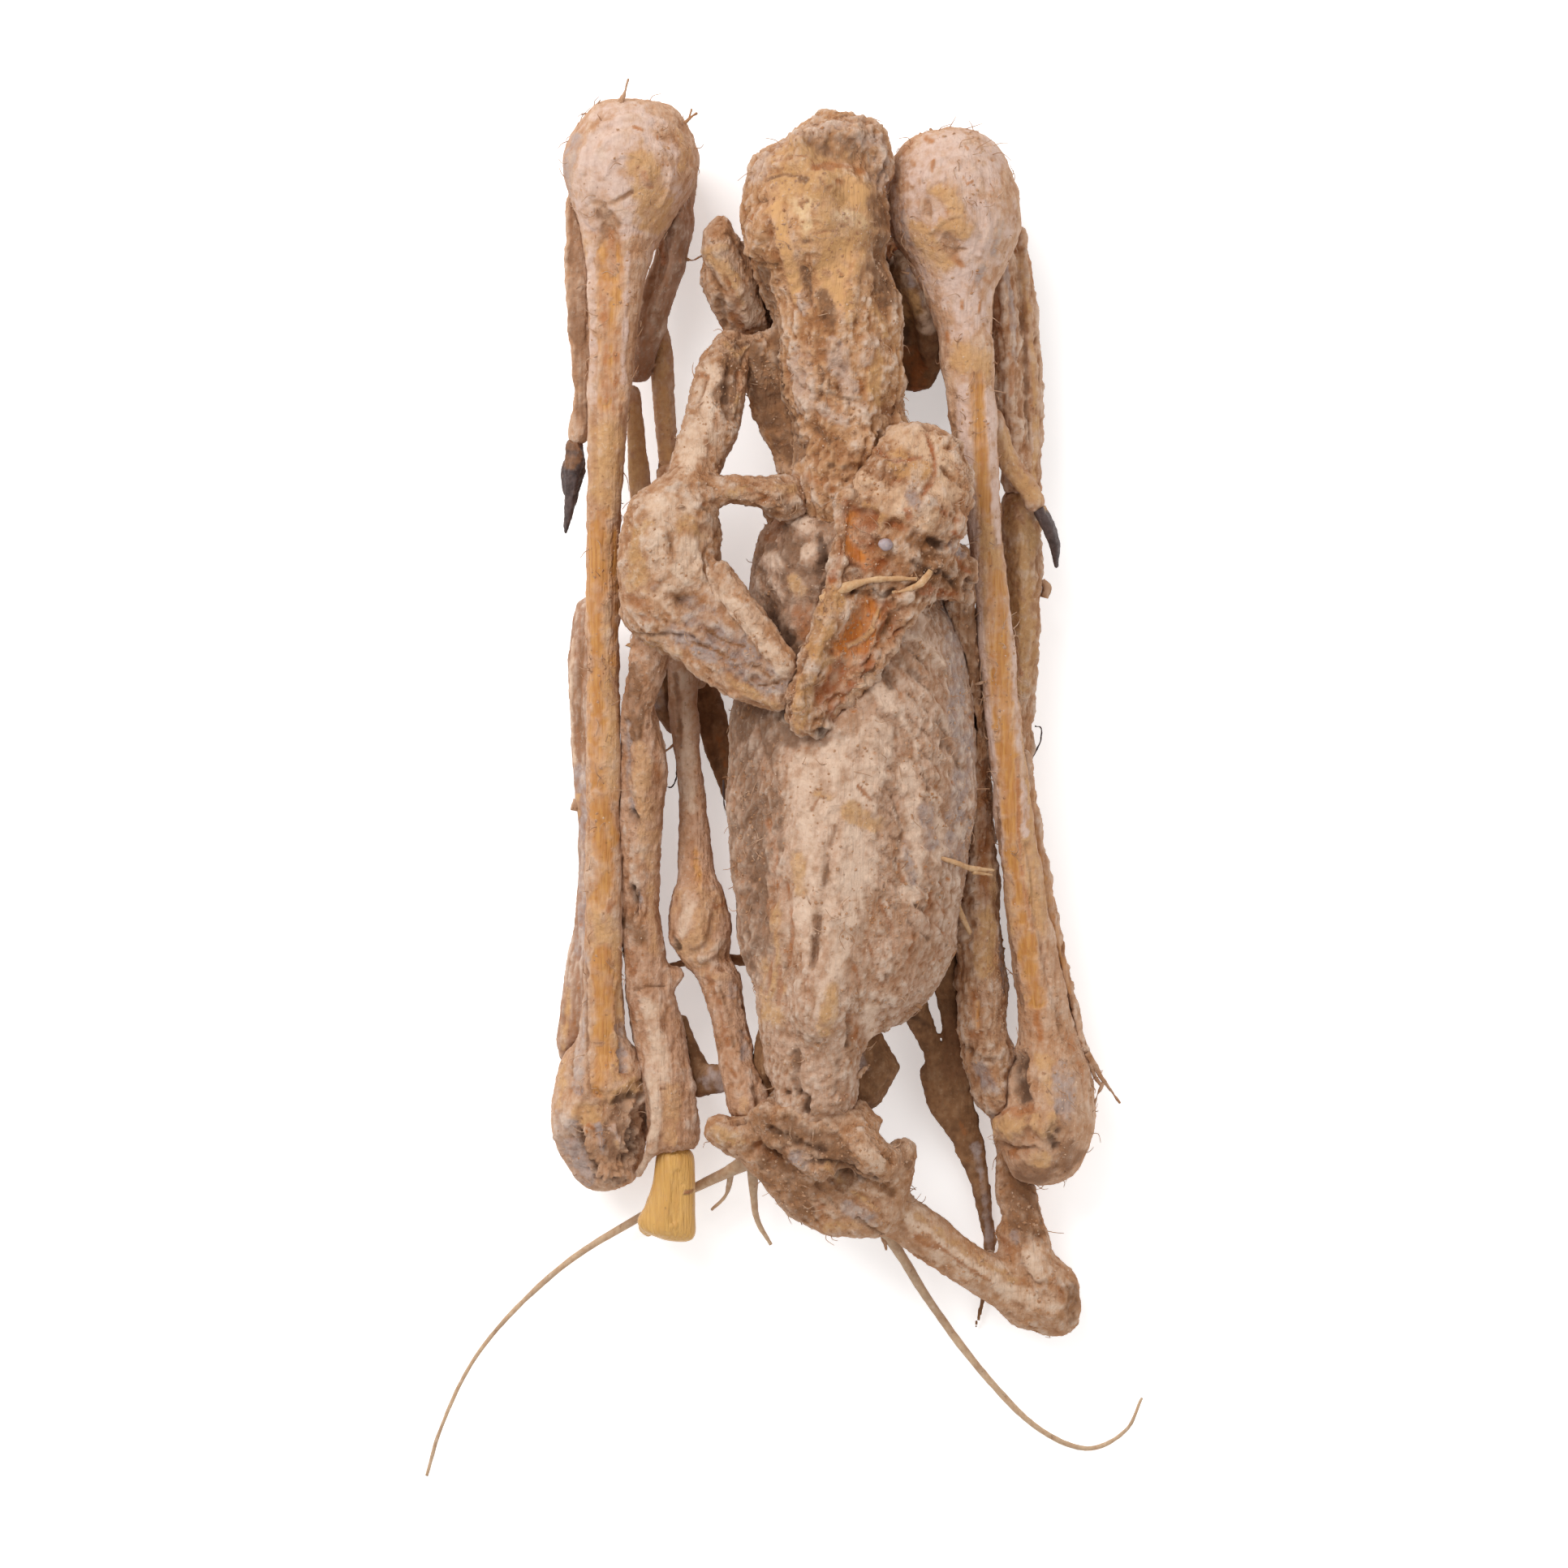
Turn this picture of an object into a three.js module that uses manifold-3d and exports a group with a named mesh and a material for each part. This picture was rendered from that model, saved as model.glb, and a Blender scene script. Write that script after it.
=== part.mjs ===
// Dried skeleton of a large fruit bat, life size, in millimetres.
// It lies on its belly on the floor, head towards +Y, back up (+Z), wings folded along the body.
import * as THREE from "three";
import { mergeVertices } from "three/addons/utils/BufferGeometryUtils.js";
import Module from "manifold-3d";

const wasm = await Module();
wasm.setup();

// Driving dimensions
const clearance = 0.3; // air left where one part lies against another
const smoothing = 0.28; // edges shorter than this are merged
const sides = 6; // corners of a section
const backHeight = 19; // height of the rib cage's middle
const cageDepth = 18; // half of the rib cage, belly to back
const ribRidge = 0.6; // how far a rib stands out of the dried wall
const ribSlope = 0.35; // how far a rib runs to the tail on its way out
const cageRings = 13; // sections along the rib cage, every second one a rib
const cageFlatness = 0.55; // depth left where the cage narrows, as a share of its full depth
const cageFullWidth = 18; // half width at which the cage has its full depth
const midline = 9.6; // where the two sides of the rib cage meet
const wristHeight = 20;
const elbowHeight = 10.5;
const forearmHeight = 23;
const fingerHeight = 11; // the folded finger bones under the forearm
const strandEnd = 0.75; // height of the finger tips, which lie on the floor

// Finishes
const tissue = { color: 0xc8a488, roughness: 0.92, metalness: 0 };
const cream = { color: 0xdcc4a8, roughness: 0.9, metalness: 0 };
const bareBone = { color: 0xc08a48, roughness: 0.5, metalness: 0 };
const horn = { color: 0x3c3230, roughness: 0.55, metalness: 0 };
const darkSkin = { color: 0x6c543e, roughness: 0.85, metalness: 0 };
const strand = { color: 0xc4aa8c, roughness: 0.65, metalness: 0 };

const parts = []; // in order: each part gives way to the parts before it

// A station of a bone: middle, half width across and half depth.
function at(x, y, z, across, deep = across) {
  return { place: new THREE.Vector3(x, y, z), across, deep };
}

// Even, repeatable unevenness of a dried surface, from -1 to 1.
function unevenness(turn, along, seed) {
  const first = Math.sin(3 * turn + 7 * along + seed);
  const second = Math.sin(2 * turn - 11 * along + 2.3 * seed);
  return 0.6 * first + 0.4 * second;
}

// Value between stations, smooth along the bone.
function between(stations, key, share) {
  const spot = share * (stations.length - 1);
  const index = Math.min(Math.floor(spot), stations.length - 2);
  return THREE.MathUtils.lerp(stations[index][key], stations[index + 1][key], spot - index);
}

// Turns merged triangles into a solid that can be joined and cut.
function solidOf(points, corners) {
  const shape = new THREE.BufferGeometry();
  shape.setAttribute("position", new THREE.Float32BufferAttribute(points, 3));
  shape.setIndex(corners);
  const merged = mergeVertices(shape, 1e-4);
  return new wasm.Manifold(
    new wasm.Mesh({
      numProp: 3,
      vertProperties: new Float32Array(merged.attributes.position.array),
      triVerts: new Uint32Array(merged.index.array),
    }),
  );
}

// A bone with round ends, lofted through its stations. The section is an ellipse turned by roll.
function bone(stations, grow = 0, shape = {}) {
  const { steps = 1, uneven = 0, seed = 1, roll = 0, tip = 1, slope = 0, corners = sides } = shape;
  const path = new THREE.CatmullRomCurve3(stations.map((s) => s.place), false, "centripetal");
  const rings = (stations.length - 1) * steps;
  const points = [];
  const sections = [];
  const section = (share, push, size) => {
    const middle = path.getPoint(share);
    const along = path.getTangent(share).normalize();
    const aside = Math.abs(along.z) > 0.9 ? new THREE.Vector3(0, 1, 0) : new THREE.Vector3(0, 0, 1);
    const across = new THREE.Vector3().crossVectors(along, aside).normalize();
    const up = new THREE.Vector3().crossVectors(across, along).normalize();
    across.applyAxisAngle(along, roll);
    up.applyAxisAngle(along, roll);
    middle.addScaledVector(along, push);
    return { middle, along, across, up, size, share };
  };
  const first = (stations[0].across + stations[0].deep) / 2;
  const last = (stations.at(-1).across + stations.at(-1).deep) / 2;
  const cap = Math.SQRT1_2;
  const flat = 1 / Math.cos(Math.PI / corners); // so that the flats, not the corners, stand at the half width
  sections.push(section(0, -(first * tip + grow) * cap, cap));
  for (let i = 0; i <= rings; i++) sections.push(section(i / rings, 0, 1));
  sections.push(section(1, (last * tip + grow) * cap, cap));
  const start = section(0, -(first * tip + grow), 0).middle;
  const end = section(1, last * tip + grow, 0).middle;
  points.push(...start.toArray());
  for (const s of sections) {
    const across = between(stations, "across", s.share);
    const deep = between(stations, "deep", s.share);
    for (let k = 0; k < corners; k++) {
      const turn = (2 * Math.PI * (k + 0.5)) / corners;
      const swell = 1 + uneven * unevenness(turn, s.share * 3, seed);
      const point = s.middle.clone();
      point.addScaledVector(s.across, Math.cos(turn) * s.size * flat * (across * swell + grow));
      point.addScaledVector(s.up, Math.sin(turn) * s.size * flat * (deep * swell + grow));
      point.addScaledVector(s.along, slope * Math.abs(Math.cos(turn)) * s.size * across);
      points.push(...point.toArray());
    }
  }
  points.push(...end.toArray());
  const triangles = [];
  const lastPoint = points.length / 3 - 1;
  for (let k = 0; k < corners; k++) {
    const next = (k + 1) % corners;
    triangles.push(0, 1 + next, 1 + k);
    for (let r = 0; r < sections.length - 1; r++) {
      const low = 1 + r * corners;
      const high = low + corners;
      triangles.push(low + k, low + next, high + next, low + k, high + next, high + k);
    }
    const rim = 1 + (sections.length - 1) * corners;
    triangles.push(lastPoint, rim + k, rim + next);
  }
  const solid = solidOf(points, triangles);
  return solid.volume() < 0 ? solidOf(points, triangles.reverse()) : solid;
}

// An egg-shaped lump or hollow.
function lump(x, y, z, wide, long, deep, grow = 0) {
  const egg = new THREE.SphereGeometry(1, 8, 6);
  egg.scale(wide + grow, long + grow, deep + grow);
  egg.translate(x, y, z);
  const bare = new THREE.BufferGeometry();
  bare.setAttribute("position", egg.getAttribute("position"));
  bare.setIndex(egg.index);
  const merged = mergeVertices(bare, 1e-4);
  const kept = [];
  const index = merged.index.array;
  for (let i = 0; i < index.length; i += 3) {
    const [a, b, c] = [index[i], index[i + 1], index[i + 2]];
    if (a !== b && b !== c && c !== a) kept.push(a, b, c);
  }
  return solidOf(Array.from(merged.attributes.position.array), kept);
}

function join(...solids) {
  return solids.reduce((whole, next) => whole.add(next));
}

// Registers a part; build makes it, a little fatter when grow is given.
function part(name, finish, build) {
  parts.push({ name, finish, build });
}

// ---- Head ----
part("skull", tissue, (grow) => {
  const braincase = bone(
    [
      at(8.2, 102.5, 27, 7.6, 8),
      at(6, 98.5, 27.5, 11.4, 11),
      at(5, 92, 27, 12.3, 12.6),
      at(5.3, 85, 23.5, 10, 12),
      at(6.2, 77, 18, 7.4, 9.2),
      at(6.8, 69, 13.2, 5.8, 6.4),
      at(7, 62.6, 10.8, 4.2, 4.2),
    ],
    grow,
    { uneven: 0.05, seed: 4, corners: 10 },
  );
  const cheek = (side) =>
    bone(
      [
        at(5.5 + side * 8, 88, 18, 1.8, 2.4),
        at(6 + side * 13, 82, 15, 1.3, 2),
        at(6.5 + side * 10.4, 74.5, 12.4, 1.3, 1.9),
        at(6.8 + side * 4.6, 69.5, 12, 1.7, 2),
      ],
      grow,
      { corners: 5 },
    );
  const crest = bone(
    [
      at(3, 104, 36.4, 2.2, 2.4),
      at(6, 97, 39.6, 2.2, 1.6),
      at(6.6, 89, 38.4, 1.9, 1.5),
    ],
    grow,
    { corners: 5 },
  );
  const rear = lump(12.5, 103.6, 27, 5.2, 5.4, 6.5, grow);
  const whole = join(braincase, cheek(-1), cheek(1), crest, rear);
  return grow ? whole : whole.subtract(lump(8.8, 103.7, 36.4, 4.2, 1.6, 3));
});

part("jaw", bareBone, (grow) => {
  const branch = (stations) => bone(stations, grow, { uneven: 0.08, seed: 3, corners: 6 });
  const left = branch([
    at(-10.6, 88.6, 24, 2.6, 3),
    at(-8.6, 82.8, 21.5, 4.6, 4.6),
    at(-5.8, 76.6, 15.5, 4.7, 4.8),
    at(-1, 67.5, 4.6, 2.4, 3.4),
    at(5, 58.8, 3.2, 2.4, 2.8),
  ]);
  const right = branch([
    at(18, 87.5, 10.5, 1.8, 2.8),
    at(17, 80.5, 6.5, 2, 3.8),
    at(13.6, 69.5, 3.8, 2, 3.4),
    at(7.4, 58.8, 3.2, 2.4, 2.8),
  ]);
  const stump = bone([at(-10.2, 91.6, 23, 1.3), at(-10.4, 89, 23, 1.9)], grow);
  return join(left, right, stump);
});

part("neck", tissue, (grow) => {
  const column = [];
  const joints = 6;
  for (let i = 0; i <= joints; i++) {
    const share = i / joints;
    const swell = i % 2 ? 0.7 : 0;
    const wide = 7.6 + 2.2 * Math.sin(Math.PI * Math.min(1, share * 1.35)) + swell;
    column.push(at(8.4 + 2.2 * share, 85.5 - 40 * share, 28.5 - 1.5 * Math.sin(Math.PI * share), wide, 8.6));
  }
  return bone(column, grow, { uneven: 0.05, seed: 9, corners: 8 });
});

part("neck_strap_left", tissue, (grow) =>
  bone(
    [
      at(-4.6, 71.5, 23, 2.4, 2.6),
      at(-3, 62, 20, 2.6, 3),
      at(0.4, 54, 19, 2.2, 3),
      at(3, 48, 20, 2, 3),
    ],
    grow,
  ),
);

part("neck_skin_right", darkSkin, (grow) =>
  bone(
    [
      at(19.2, 84, 17, 2.4, 4),
      at(21.8, 77.6, 14, 4.7, 1.6),
      at(22, 71.4, 11, 4.9, 1.4),
      at(21.6, 67, 11, 3.8, 1.6),
    ],
    grow,
    { roll: 0.25 },
  ),
);

// ---- Shoulders ----
part("scapula_right", tissue, (grow) => {
  const blade = bone(
    [
      at(22.6, 52.4, 35, 7.6, 4.6),
      at(20.6, 45.5, 36.5, 9.4, 5.6),
      at(17.8, 37, 37.4, 8.8, 4.8),
      at(13.2, 27, 38.4, 7.2, 3.6),
      at(8.4, 18.5, 39, 6, 3),
      at(3.6, 10.6, 39, 4, 2.6),
    ],
    grow,
    { uneven: 0.07, seed: 6, corners: 8 },
  );
  const spine = bone(
    [at(10.4, 46, 40.4, 1.6), at(9.6, 36, 41.2, 1.6), at(6.4, 24, 42, 1.5), at(2, 13, 41.4, 1.7)],
    grow,
    { corners: 5 },
  );
  const socket = lump(26, 47, 33, 5, 7.4, 5.6, grow);
  const whole = join(blade, spine, socket);
  return grow ? whole : whole.subtract(lump(12.4, 22.8, 45, 4.2, 10.5, 4.6));
});

part("scapula_left", tissue, (grow) => {
  const shoulder = bone(
    [
      at(-15.4, 46.6, 32, 5.4, 4.4),
      at(-18, 42.6, 31.5, 8, 5.6),
      at(-19, 35.6, 31.5, 8, 6),
      at(-18.4, 28.4, 32.4, 7.8, 5),
    ],
    grow,
    { uneven: 0.07, seed: 2, corners: 8 },
  );
  const blade = bone(
    [
      at(-18, 28.2, 32.4, 5.4, 4.2),
      at(-11.5, 24, 35.4, 6.6, 3.8),
      at(-4.6, 18.4, 37.6, 6, 3),
      at(-0.4, 14.6, 38.2, 3.4, 2.4),
    ],
    grow,
    { uneven: 0.06, seed: 5, corners: 8 },
  );
  const spine = bone(
    [
      at(-10, 34.4, 36.6, 1.5),
      at(-5.6, 27.8, 39.6, 1.5),
      at(0.8, 19.4, 40.6, 1.5),
    ],
    grow,
    { corners: 5 },
  );
  const corner = lump(-22.6, 28, 30.4, 4.4, 4.6, 4.2, grow);
  return join(shoulder, blade, spine, corner);
});

part("acromion_left", tissue, (grow) =>
  bone(
    [
      at(-13.4, 47, 31.5, 2.2, 2.2),
      at(-8, 47.8, 33.4, 2, 2.2),
      at(-3, 47.2, 34, 2.6, 2.4),
      at(0.8, 45.8, 33, 2.9, 2.6),
    ],
    grow,
    { uneven: 0.08 },
  ),
);

part("clavicle_left", tissue, (grow) =>
  bone(
    [
      at(-8.6, 71.4, 23.5, 2.8, 3),
      at(-9.8, 68, 25, 4, 3.8),
      at(-11.3, 61, 26.5, 4.2, 4),
      at(-13.3, 55, 28, 3.9, 3.8),
      at(-15.6, 48.4, 29.5, 3.6, 3.4),
    ],
    grow,
    { uneven: 0.05, seed: 8 },
  ),
);

// ---- Trunk ----
// Along the body from the shoulders: place, middle and half width of the rib cage.
const cageMiddle = [
  [46, 9, 13.2],
  [34, 10, 15.6],
  [23, 11.1, 18.6],
  [10, 11.3, 19.8],
  [0, 11.2, 19.6],
  [-10, 10.8, 18.2],
  [-20, 10.6, 17.1],
  [-27, 10, 15.4],
  [-33, 8.8, 11.6],
];

// Middle and half width of the rib cage at a place along the body.
function cageAt(y) {
  let index = 0;
  while (index < cageMiddle.length - 2 && cageMiddle[index + 1][0] > y) index++;
  const [high, low] = [cageMiddle[index], cageMiddle[index + 1]];
  const share = THREE.MathUtils.clamp((high[0] - y) / (high[0] - low[0]), 0, 1);
  const middle = THREE.MathUtils.lerp(high[1], low[1], share);
  const wide = THREE.MathUtils.lerp(high[2], low[2], share);
  return { middle, wide };
}

// One side of the rib cage, dried over with muscle: every second section is a rib that slopes to the tail.
function cageSide(side, grow) {
  const stations = [];
  for (let i = 0; i <= cageRings; i++) {
    const y = cageMiddle[0][0] - (i / cageRings) * (cageMiddle[0][0] - cageMiddle.at(-1)[0]);
    const { middle, wide } = cageAt(y);
    const ridge = i % 2 ? ribRidge : 0;
    const deep = cageDepth * THREE.MathUtils.lerp(cageFlatness, 1, Math.min(1, wide / cageFullWidth));
    stations.push(at(middle, y, backHeight, wide + ridge, deep + ridge));
  }
  const wall = bone(stations, grow, { corners: 10, tip: 0.3, slope: ribSlope });
  return wall.trimByPlane([side, 0, 0], side * midline + clearance - grow);
}

part("backbone", cream, (grow) => {
  const column = [];
  for (let i = 0; i <= 7; i++) {
    const share = i / 7;
    const y = 44 - 82 * share;
    const wide = 4.2 + 2.4 * Math.sin(Math.PI * Math.min(1, share * 1.1)) + (i % 2 ? 0.4 : 0);
    column.push(at(9.8 - 3.6 * share * share, y, 32.5 + 2.4 * Math.sin(Math.PI * share), wide, 4.4));
  }
  return bone(column, grow, { uneven: 0.04, seed: 7 });
});

part("sternum", tissue, (grow) => {
  const keel = bone(
    [
      at(9.6, 42, 4.4, 3.2, 3.4),
      at(9.6, 26, 3, 2.6, 4.2),
      at(9.8, 8, 3, 2.4, 4),
      at(9.6, -8, 4.4, 2, 2.8),
    ],
    grow,
  );
  const handle = bone([at(3, 45, 8, 2, 2.2), at(9.6, 42.5, 5, 2.6, 3), at(16.4, 45, 8, 2, 2.2)], grow);
  return join(keel, handle);
});

part("rib_cage_left", tissue, (grow) => cageSide(-1, grow));
part("rib_cage_right", tissue, (grow) => cageSide(1, grow));

part("lumbar", tissue, (grow) =>
  bone(
    [
      at(6.2, -37, 27.4, 7.8, 6.8),
      at(5.6, -42.4, 26, 6.8, 6.2),
      at(5.3, -47.5, 25, 6.7, 6),
      at(5.4, -53, 24.5, 6.2, 5.6),
    ],
    grow,
    { uneven: 0.09, seed: 3 },
  ),
);

part("flank_right", darkSkin, (grow) =>
  bone(
    [
      at(12, -43.5, 18, 4, 4),
      at(14.8, -47.4, 16.5, 3.8, 4.2),
      at(12.6, -51.4, 17, 3.2, 3.6),
    ],
    grow,
    { roll: 0.4 },
  ),
);

part("flank_left", darkSkin, (grow) =>
  bone([at(-2, -39.8, 19, 1.6, 3), at(-3.2, -46, 17, 2.2, 4), at(-3, -50.5, 17, 2, 3)], grow),
);

// ---- Pelvis ----
part("sacrum", cream, (grow) => {
  const column = bone(
    [
      at(5.4, -53.6, 25.5, 5.6, 4.4),
      at(8.4, -57.6, 25.8, 4.4, 3.6),
      at(12.4, -60.6, 26, 3.8, 3.2),
      at(16, -62.8, 25.6, 3, 2.8),
    ],
    grow,
    { uneven: 0.1, seed: 6 },
  );
  const wing = bone([at(11.4, -54.4, 24.5, 2.4, 2), at(15.4, -56, 24.4, 1, 1)], grow, { corners: 5 });
  return join(column, wing);
});

part("pelvis", tissue, (grow) => {
  const left = bone(
    [
      at(-10.4, -57.4, 21, 2.6, 3),
      at(-5.6, -58.8, 20.5, 3.6, 4),
      at(-0.6, -62.4, 19.5, 4.6, 4.6),
      at(4.6, -67.4, 18, 5.2, 5),
      at(9.4, -70.6, 18, 4.4, 5),
      at(15, -71.4, 19, 3.6, 4.4),
    ],
    grow,
    { uneven: 0.08, seed: 2 },
  );
  const right = bone(
    [at(19.6, -61.2, 21.5, 2.2, 2.8), at(18.4, -65.2, 20.5, 2.8, 3.4), at(15.2, -69.4, 19.5, 4, 4.4)],
    grow,
    { uneven: 0.08, seed: 4 },
  );
  const bridge = bone([at(0, -55.4, 19, 4.8, 4.6), at(6, -62, 18, 6, 3.8), at(13.4, -66, 18, 5, 4)], grow);
  return join(left, right, bridge);
});

// ---- Left wing ----
part("wrist_left", cream, (grow) =>
  bone(
    [
      at(-24.6, 108.2, wristHeight + 1, 8.8, 7.8),
      at(-24.9, 104, wristHeight + 1, 10.9, 10),
      at(-25.6, 99.4, wristHeight + 1, 11, 10.2),
      at(-26.4, 95.2, wristHeight + 1.4, 9.2, 9.2),
      at(-26.8, 90.2, wristHeight + 2, 6.4, 6.8),
      at(-27.4, 84, wristHeight + 2.6, 4.8, 5),
    ],
    grow,
    { uneven: 0.03, seed: 5, corners: 12, tip: 0.5 },
  ),
);

part("elbow_left", tissue, (grow) => {
  const whole = bone(
    [
      at(-29.9, -47.5, elbowHeight + 2, 7, 7.4),
      at(-30.1, -53, elbowHeight + 0.5, 7.9, 9.4),
      at(-29.9, -58, elbowHeight, 7.7, 9.8),
      at(-29.2, -62.6, elbowHeight, 5.8, 8),
    ],
    grow,
    { uneven: 0.04, seed: 7, corners: 10, tip: 0.75 },
  );
  return grow ? whole : whole.subtract(lump(-25.6, -57.4, 22.2, 2.8, 5.6, 3));
});

part("forearm_left", bareBone, (grow) =>
  bone(
    [
      at(-27.6, 82, forearmHeight, 4.4, 4.2),
      at(-27.9, 74, forearmHeight + 0.6, 3.8, 3.6),
      at(-28.8, 60, forearmHeight + 0.8, 3, 3),
      at(-29.6, 44, forearmHeight + 0.6, 2.7, 2.6),
      at(-29.9, 24, forearmHeight - 0.4, 2.6, 2.6),
      at(-29.7, 4, forearmHeight - 2, 2.7, 2.6),
      at(-29.8, -16, forearmHeight - 4.4, 2.8, 2.7),
      at(-29.7, -34, forearmHeight - 7, 3, 3),
      at(-30, -46, forearmHeight - 9, 4, 4),
    ],
    grow,
  ),
);

part("humerus_left", bareBone, (grow) =>
  bone(
    [
      at(-17.9, -61.5, 13.4, 3.1, 3.2),
      at(-18.2, -67, 13, 3.4, 3.1),
      at(-18.8, -71.4, 12.6, 4.2, 3.2),
      at(-19.5, -74, 12.4, 5.3, 3),
    ],
    grow,
    { tip: 0.45 },
  ),
);

part("arm_left", tissue, (grow) => {
  const column = bone(
    [
      at(-21.4, 24, 27, 3.2, 3.4),
      at(-24, 12, 23.5, 2.4, 3),
      at(-22.9, 2, 20.5, 3.6, 3.8),
      at(-23.7, -10, 18, 3, 3.4),
      at(-23.8, -22, 16, 2.9, 3.2),
      at(-22.6, -32, 14.6, 3.4, 3.8),
      at(-20.6, -42, 13.4, 3.8, 4.4),
      at(-18.8, -52, 13, 3.9, 4.8),
      at(-18, -60.4, 13.2, 3.9, 4.6),
    ],
    grow,
    { uneven: 0.05, seed: 6, tip: 0.4 },
  );
  const snag = bone([at(-22, -31.4, 15, 1.3, 1.4), at(-17.6, -32, 15.4, 1.2, 1.3)], grow, { corners: 5 });
  return join(column, snag);
});

part("thumb_left", tissue, (grow) =>
  bone(
    [
      at(-34, 96, 17.5, 1.6, 2),
      at(-34, 86, 18.4, 1.8, 1.8),
      at(-33.4, 74, 19.4, 1.7, 1.6),
      at(-32.8, 64, 20, 1.4, 1.5),
      at(-33.8, 57, 19.4, 1.2, 1.3),
    ],
    grow,
    { corners: 5 },
  ),
);

part("thumb_claw_left", horn, (grow) =>
  bone(
    [
      at(-34.5, 55.4, 19, 1.3, 1.5),
      at(-34.5, 51.2, 18.8, 1.5, 1.6),
      at(-35, 47.4, 17.8, 0.95, 1.2),
      at(-36, 41.4, 15.6, 0.35, 0.45),
    ],
    grow,
    { corners: 5 },
  ),
);

part("wing_skin_left", darkSkin, (grow) =>
  bone(
    [
      at(-17.6, 101, 10, 2.6, 8),
      at(-17.4, 93, 9.6, 2.4, 9),
      at(-19, 85, 10.4, 2.2, 8),
      at(-22, 77, 11, 2.4, 6.4),
      at(-24, 69, 11.5, 2, 4),
    ],
    grow,
    { uneven: 0.06, seed: 3 },
  ),
);

part("third_finger_left", tissue, (grow) =>
  bone(
    [
      at(-21.4, 80, 8, 1.5, 1.8),
      at(-20.3, 70, 8.4, 1.5, 1.7),
      at(-19.4, 56, 9, 1.3, 1.5),
      at(-18.4, 42, 9, 1.3, 1.5),
      at(-14.4, 17, 8, 1.6, 1.6),
    ],
    grow,
    { corners: 5 },
  ),
);

part("second_finger_left", tissue, (grow) =>
  bone(
    [
      at(-25, 64, 12, 1, 1.6),
      at(-24.4, 55, 12.2, 1.2, 1.6),
      at(-23.6, 47, 12.4, 1.5, 1.8),
      at(-24, 30, 12, 1.6, 2),
    ],
    grow,
    { corners: 5 },
  ),
);

part("finger_bundle_left", tissue, (grow) =>
  bone(
    [
      at(-32.2, 27, fingerHeight, 2.2, 4.6),
      at(-32.4, 20, fingerHeight, 3, 6),
      at(-31.4, 4, fingerHeight - 1, 2.9, 6.4),
      at(-30.6, -12, fingerHeight - 2, 2.8, 6),
      at(-31.2, -26, fingerHeight - 3, 3.2, 5.6),
      at(-32.8, -37, fingerHeight - 3, 3.8, 5.6),
      at(-33.6, -44, fingerHeight - 3, 3.6, 5),
    ],
    grow,
    { uneven: 0.03, seed: 2 },
  ),
);

part("wing_fold_left", darkSkin, (grow) =>
  bone([at(-22.6, 20.6, 9, 2.2, 3.4), at(-20.8, 15, 8, 2.8, 4), at(-18.6, 9.4, 8, 1, 2)], grow),
);

part("last_finger_left", darkSkin, (grow) =>
  bone(
    [
      at(-13.6, 17, 4, 2.2, 1.6),
      at(-11.6, 8, 4, 2.4, 1.4),
      at(-8.8, -2, 4, 1.6, 1.4),
    ],
    grow,
    { corners: 5 },
  ),
);

// ---- Right wing ----
part("wrist_right", cream, (grow) =>
  bone(
    [
      at(26.7, 103.4, wristHeight + 1.4, 8.4, 7.6),
      at(27.1, 99.4, wristHeight + 1.4, 10, 9.6),
      at(27.9, 94.6, wristHeight + 1.4, 10.9, 10.2),
      at(28.4, 90, wristHeight + 1.6, 10.2, 10),
      at(28.6, 85.6, wristHeight + 2, 8, 8),
      at(28.8, 80.4, wristHeight + 2.6, 5.6, 5.8),
      at(29.6, 74.6, wristHeight + 3, 4.4, 4.6),
    ],
    grow,
    { uneven: 0.03, seed: 8, corners: 12, tip: 0.5 },
  ),
);

part("elbow_right", tissue, (grow) => {
  const whole = bone(
    [
      at(44, -44.6, elbowHeight + 3, 5.4, 6),
      at(43.6, -50, elbowHeight + 1.4, 7.2, 8.4),
      at(42.8, -56.5, elbowHeight, 8.4, 9.8),
      at(43, -61.6, elbowHeight, 6.8, 8.6),
    ],
    grow,
    { uneven: 0.05, seed: 3, corners: 10, tip: 0.7 },
  );
  return grow ? whole : whole.subtract(lump(38.4, -59.4, 21.4, 2.4, 1.6, 3));
});

part("forearm_right", bareBone, (grow) =>
  bone(
    [
      at(29.8, 73, forearmHeight + 0.4, 4.2, 4),
      at(30.5, 64, forearmHeight + 0.6, 3.8, 3.6),
      at(31.8, 52, forearmHeight + 0.8, 3.5, 3.2),
      at(33.1, 40, forearmHeight + 0.6, 2.6, 2.7),
      at(34.6, 26, forearmHeight, 2.8, 2.7),
      at(36.3, 9, forearmHeight - 1.4, 2.8, 2.7),
      at(38, -7, forearmHeight - 3, 3, 2.8),
      at(40.2, -22, forearmHeight - 5, 3.4, 3),
      at(42.4, -35, forearmHeight - 7.4, 4, 3.6),
      at(43.8, -43.6, forearmHeight - 9, 4.6, 4.4),
    ],
    grow,
  ),
);

part("arm_right", tissue, (grow) =>
  bone(
    [
      at(28.4, 36, 25.5, 2.6, 3.6),
      at(30.4, 20, 21.5, 2, 3.2),
      at(32, 4, 17.5, 2, 3),
      at(32.4, -11, 15.5, 2.2, 3.2),
      at(32, -20, 14.6, 3.7, 4),
      at(32.6, -32, 13.6, 3.8, 4),
      at(32.9, -43, 12.8, 3.8, 4.4),
      at(35.6, -51.6, 12, 3.6, 5),
      at(38, -56, 11.6, 3, 5),
    ],
    grow,
    { uneven: 0.06, seed: 4 },
  ),
);

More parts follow.
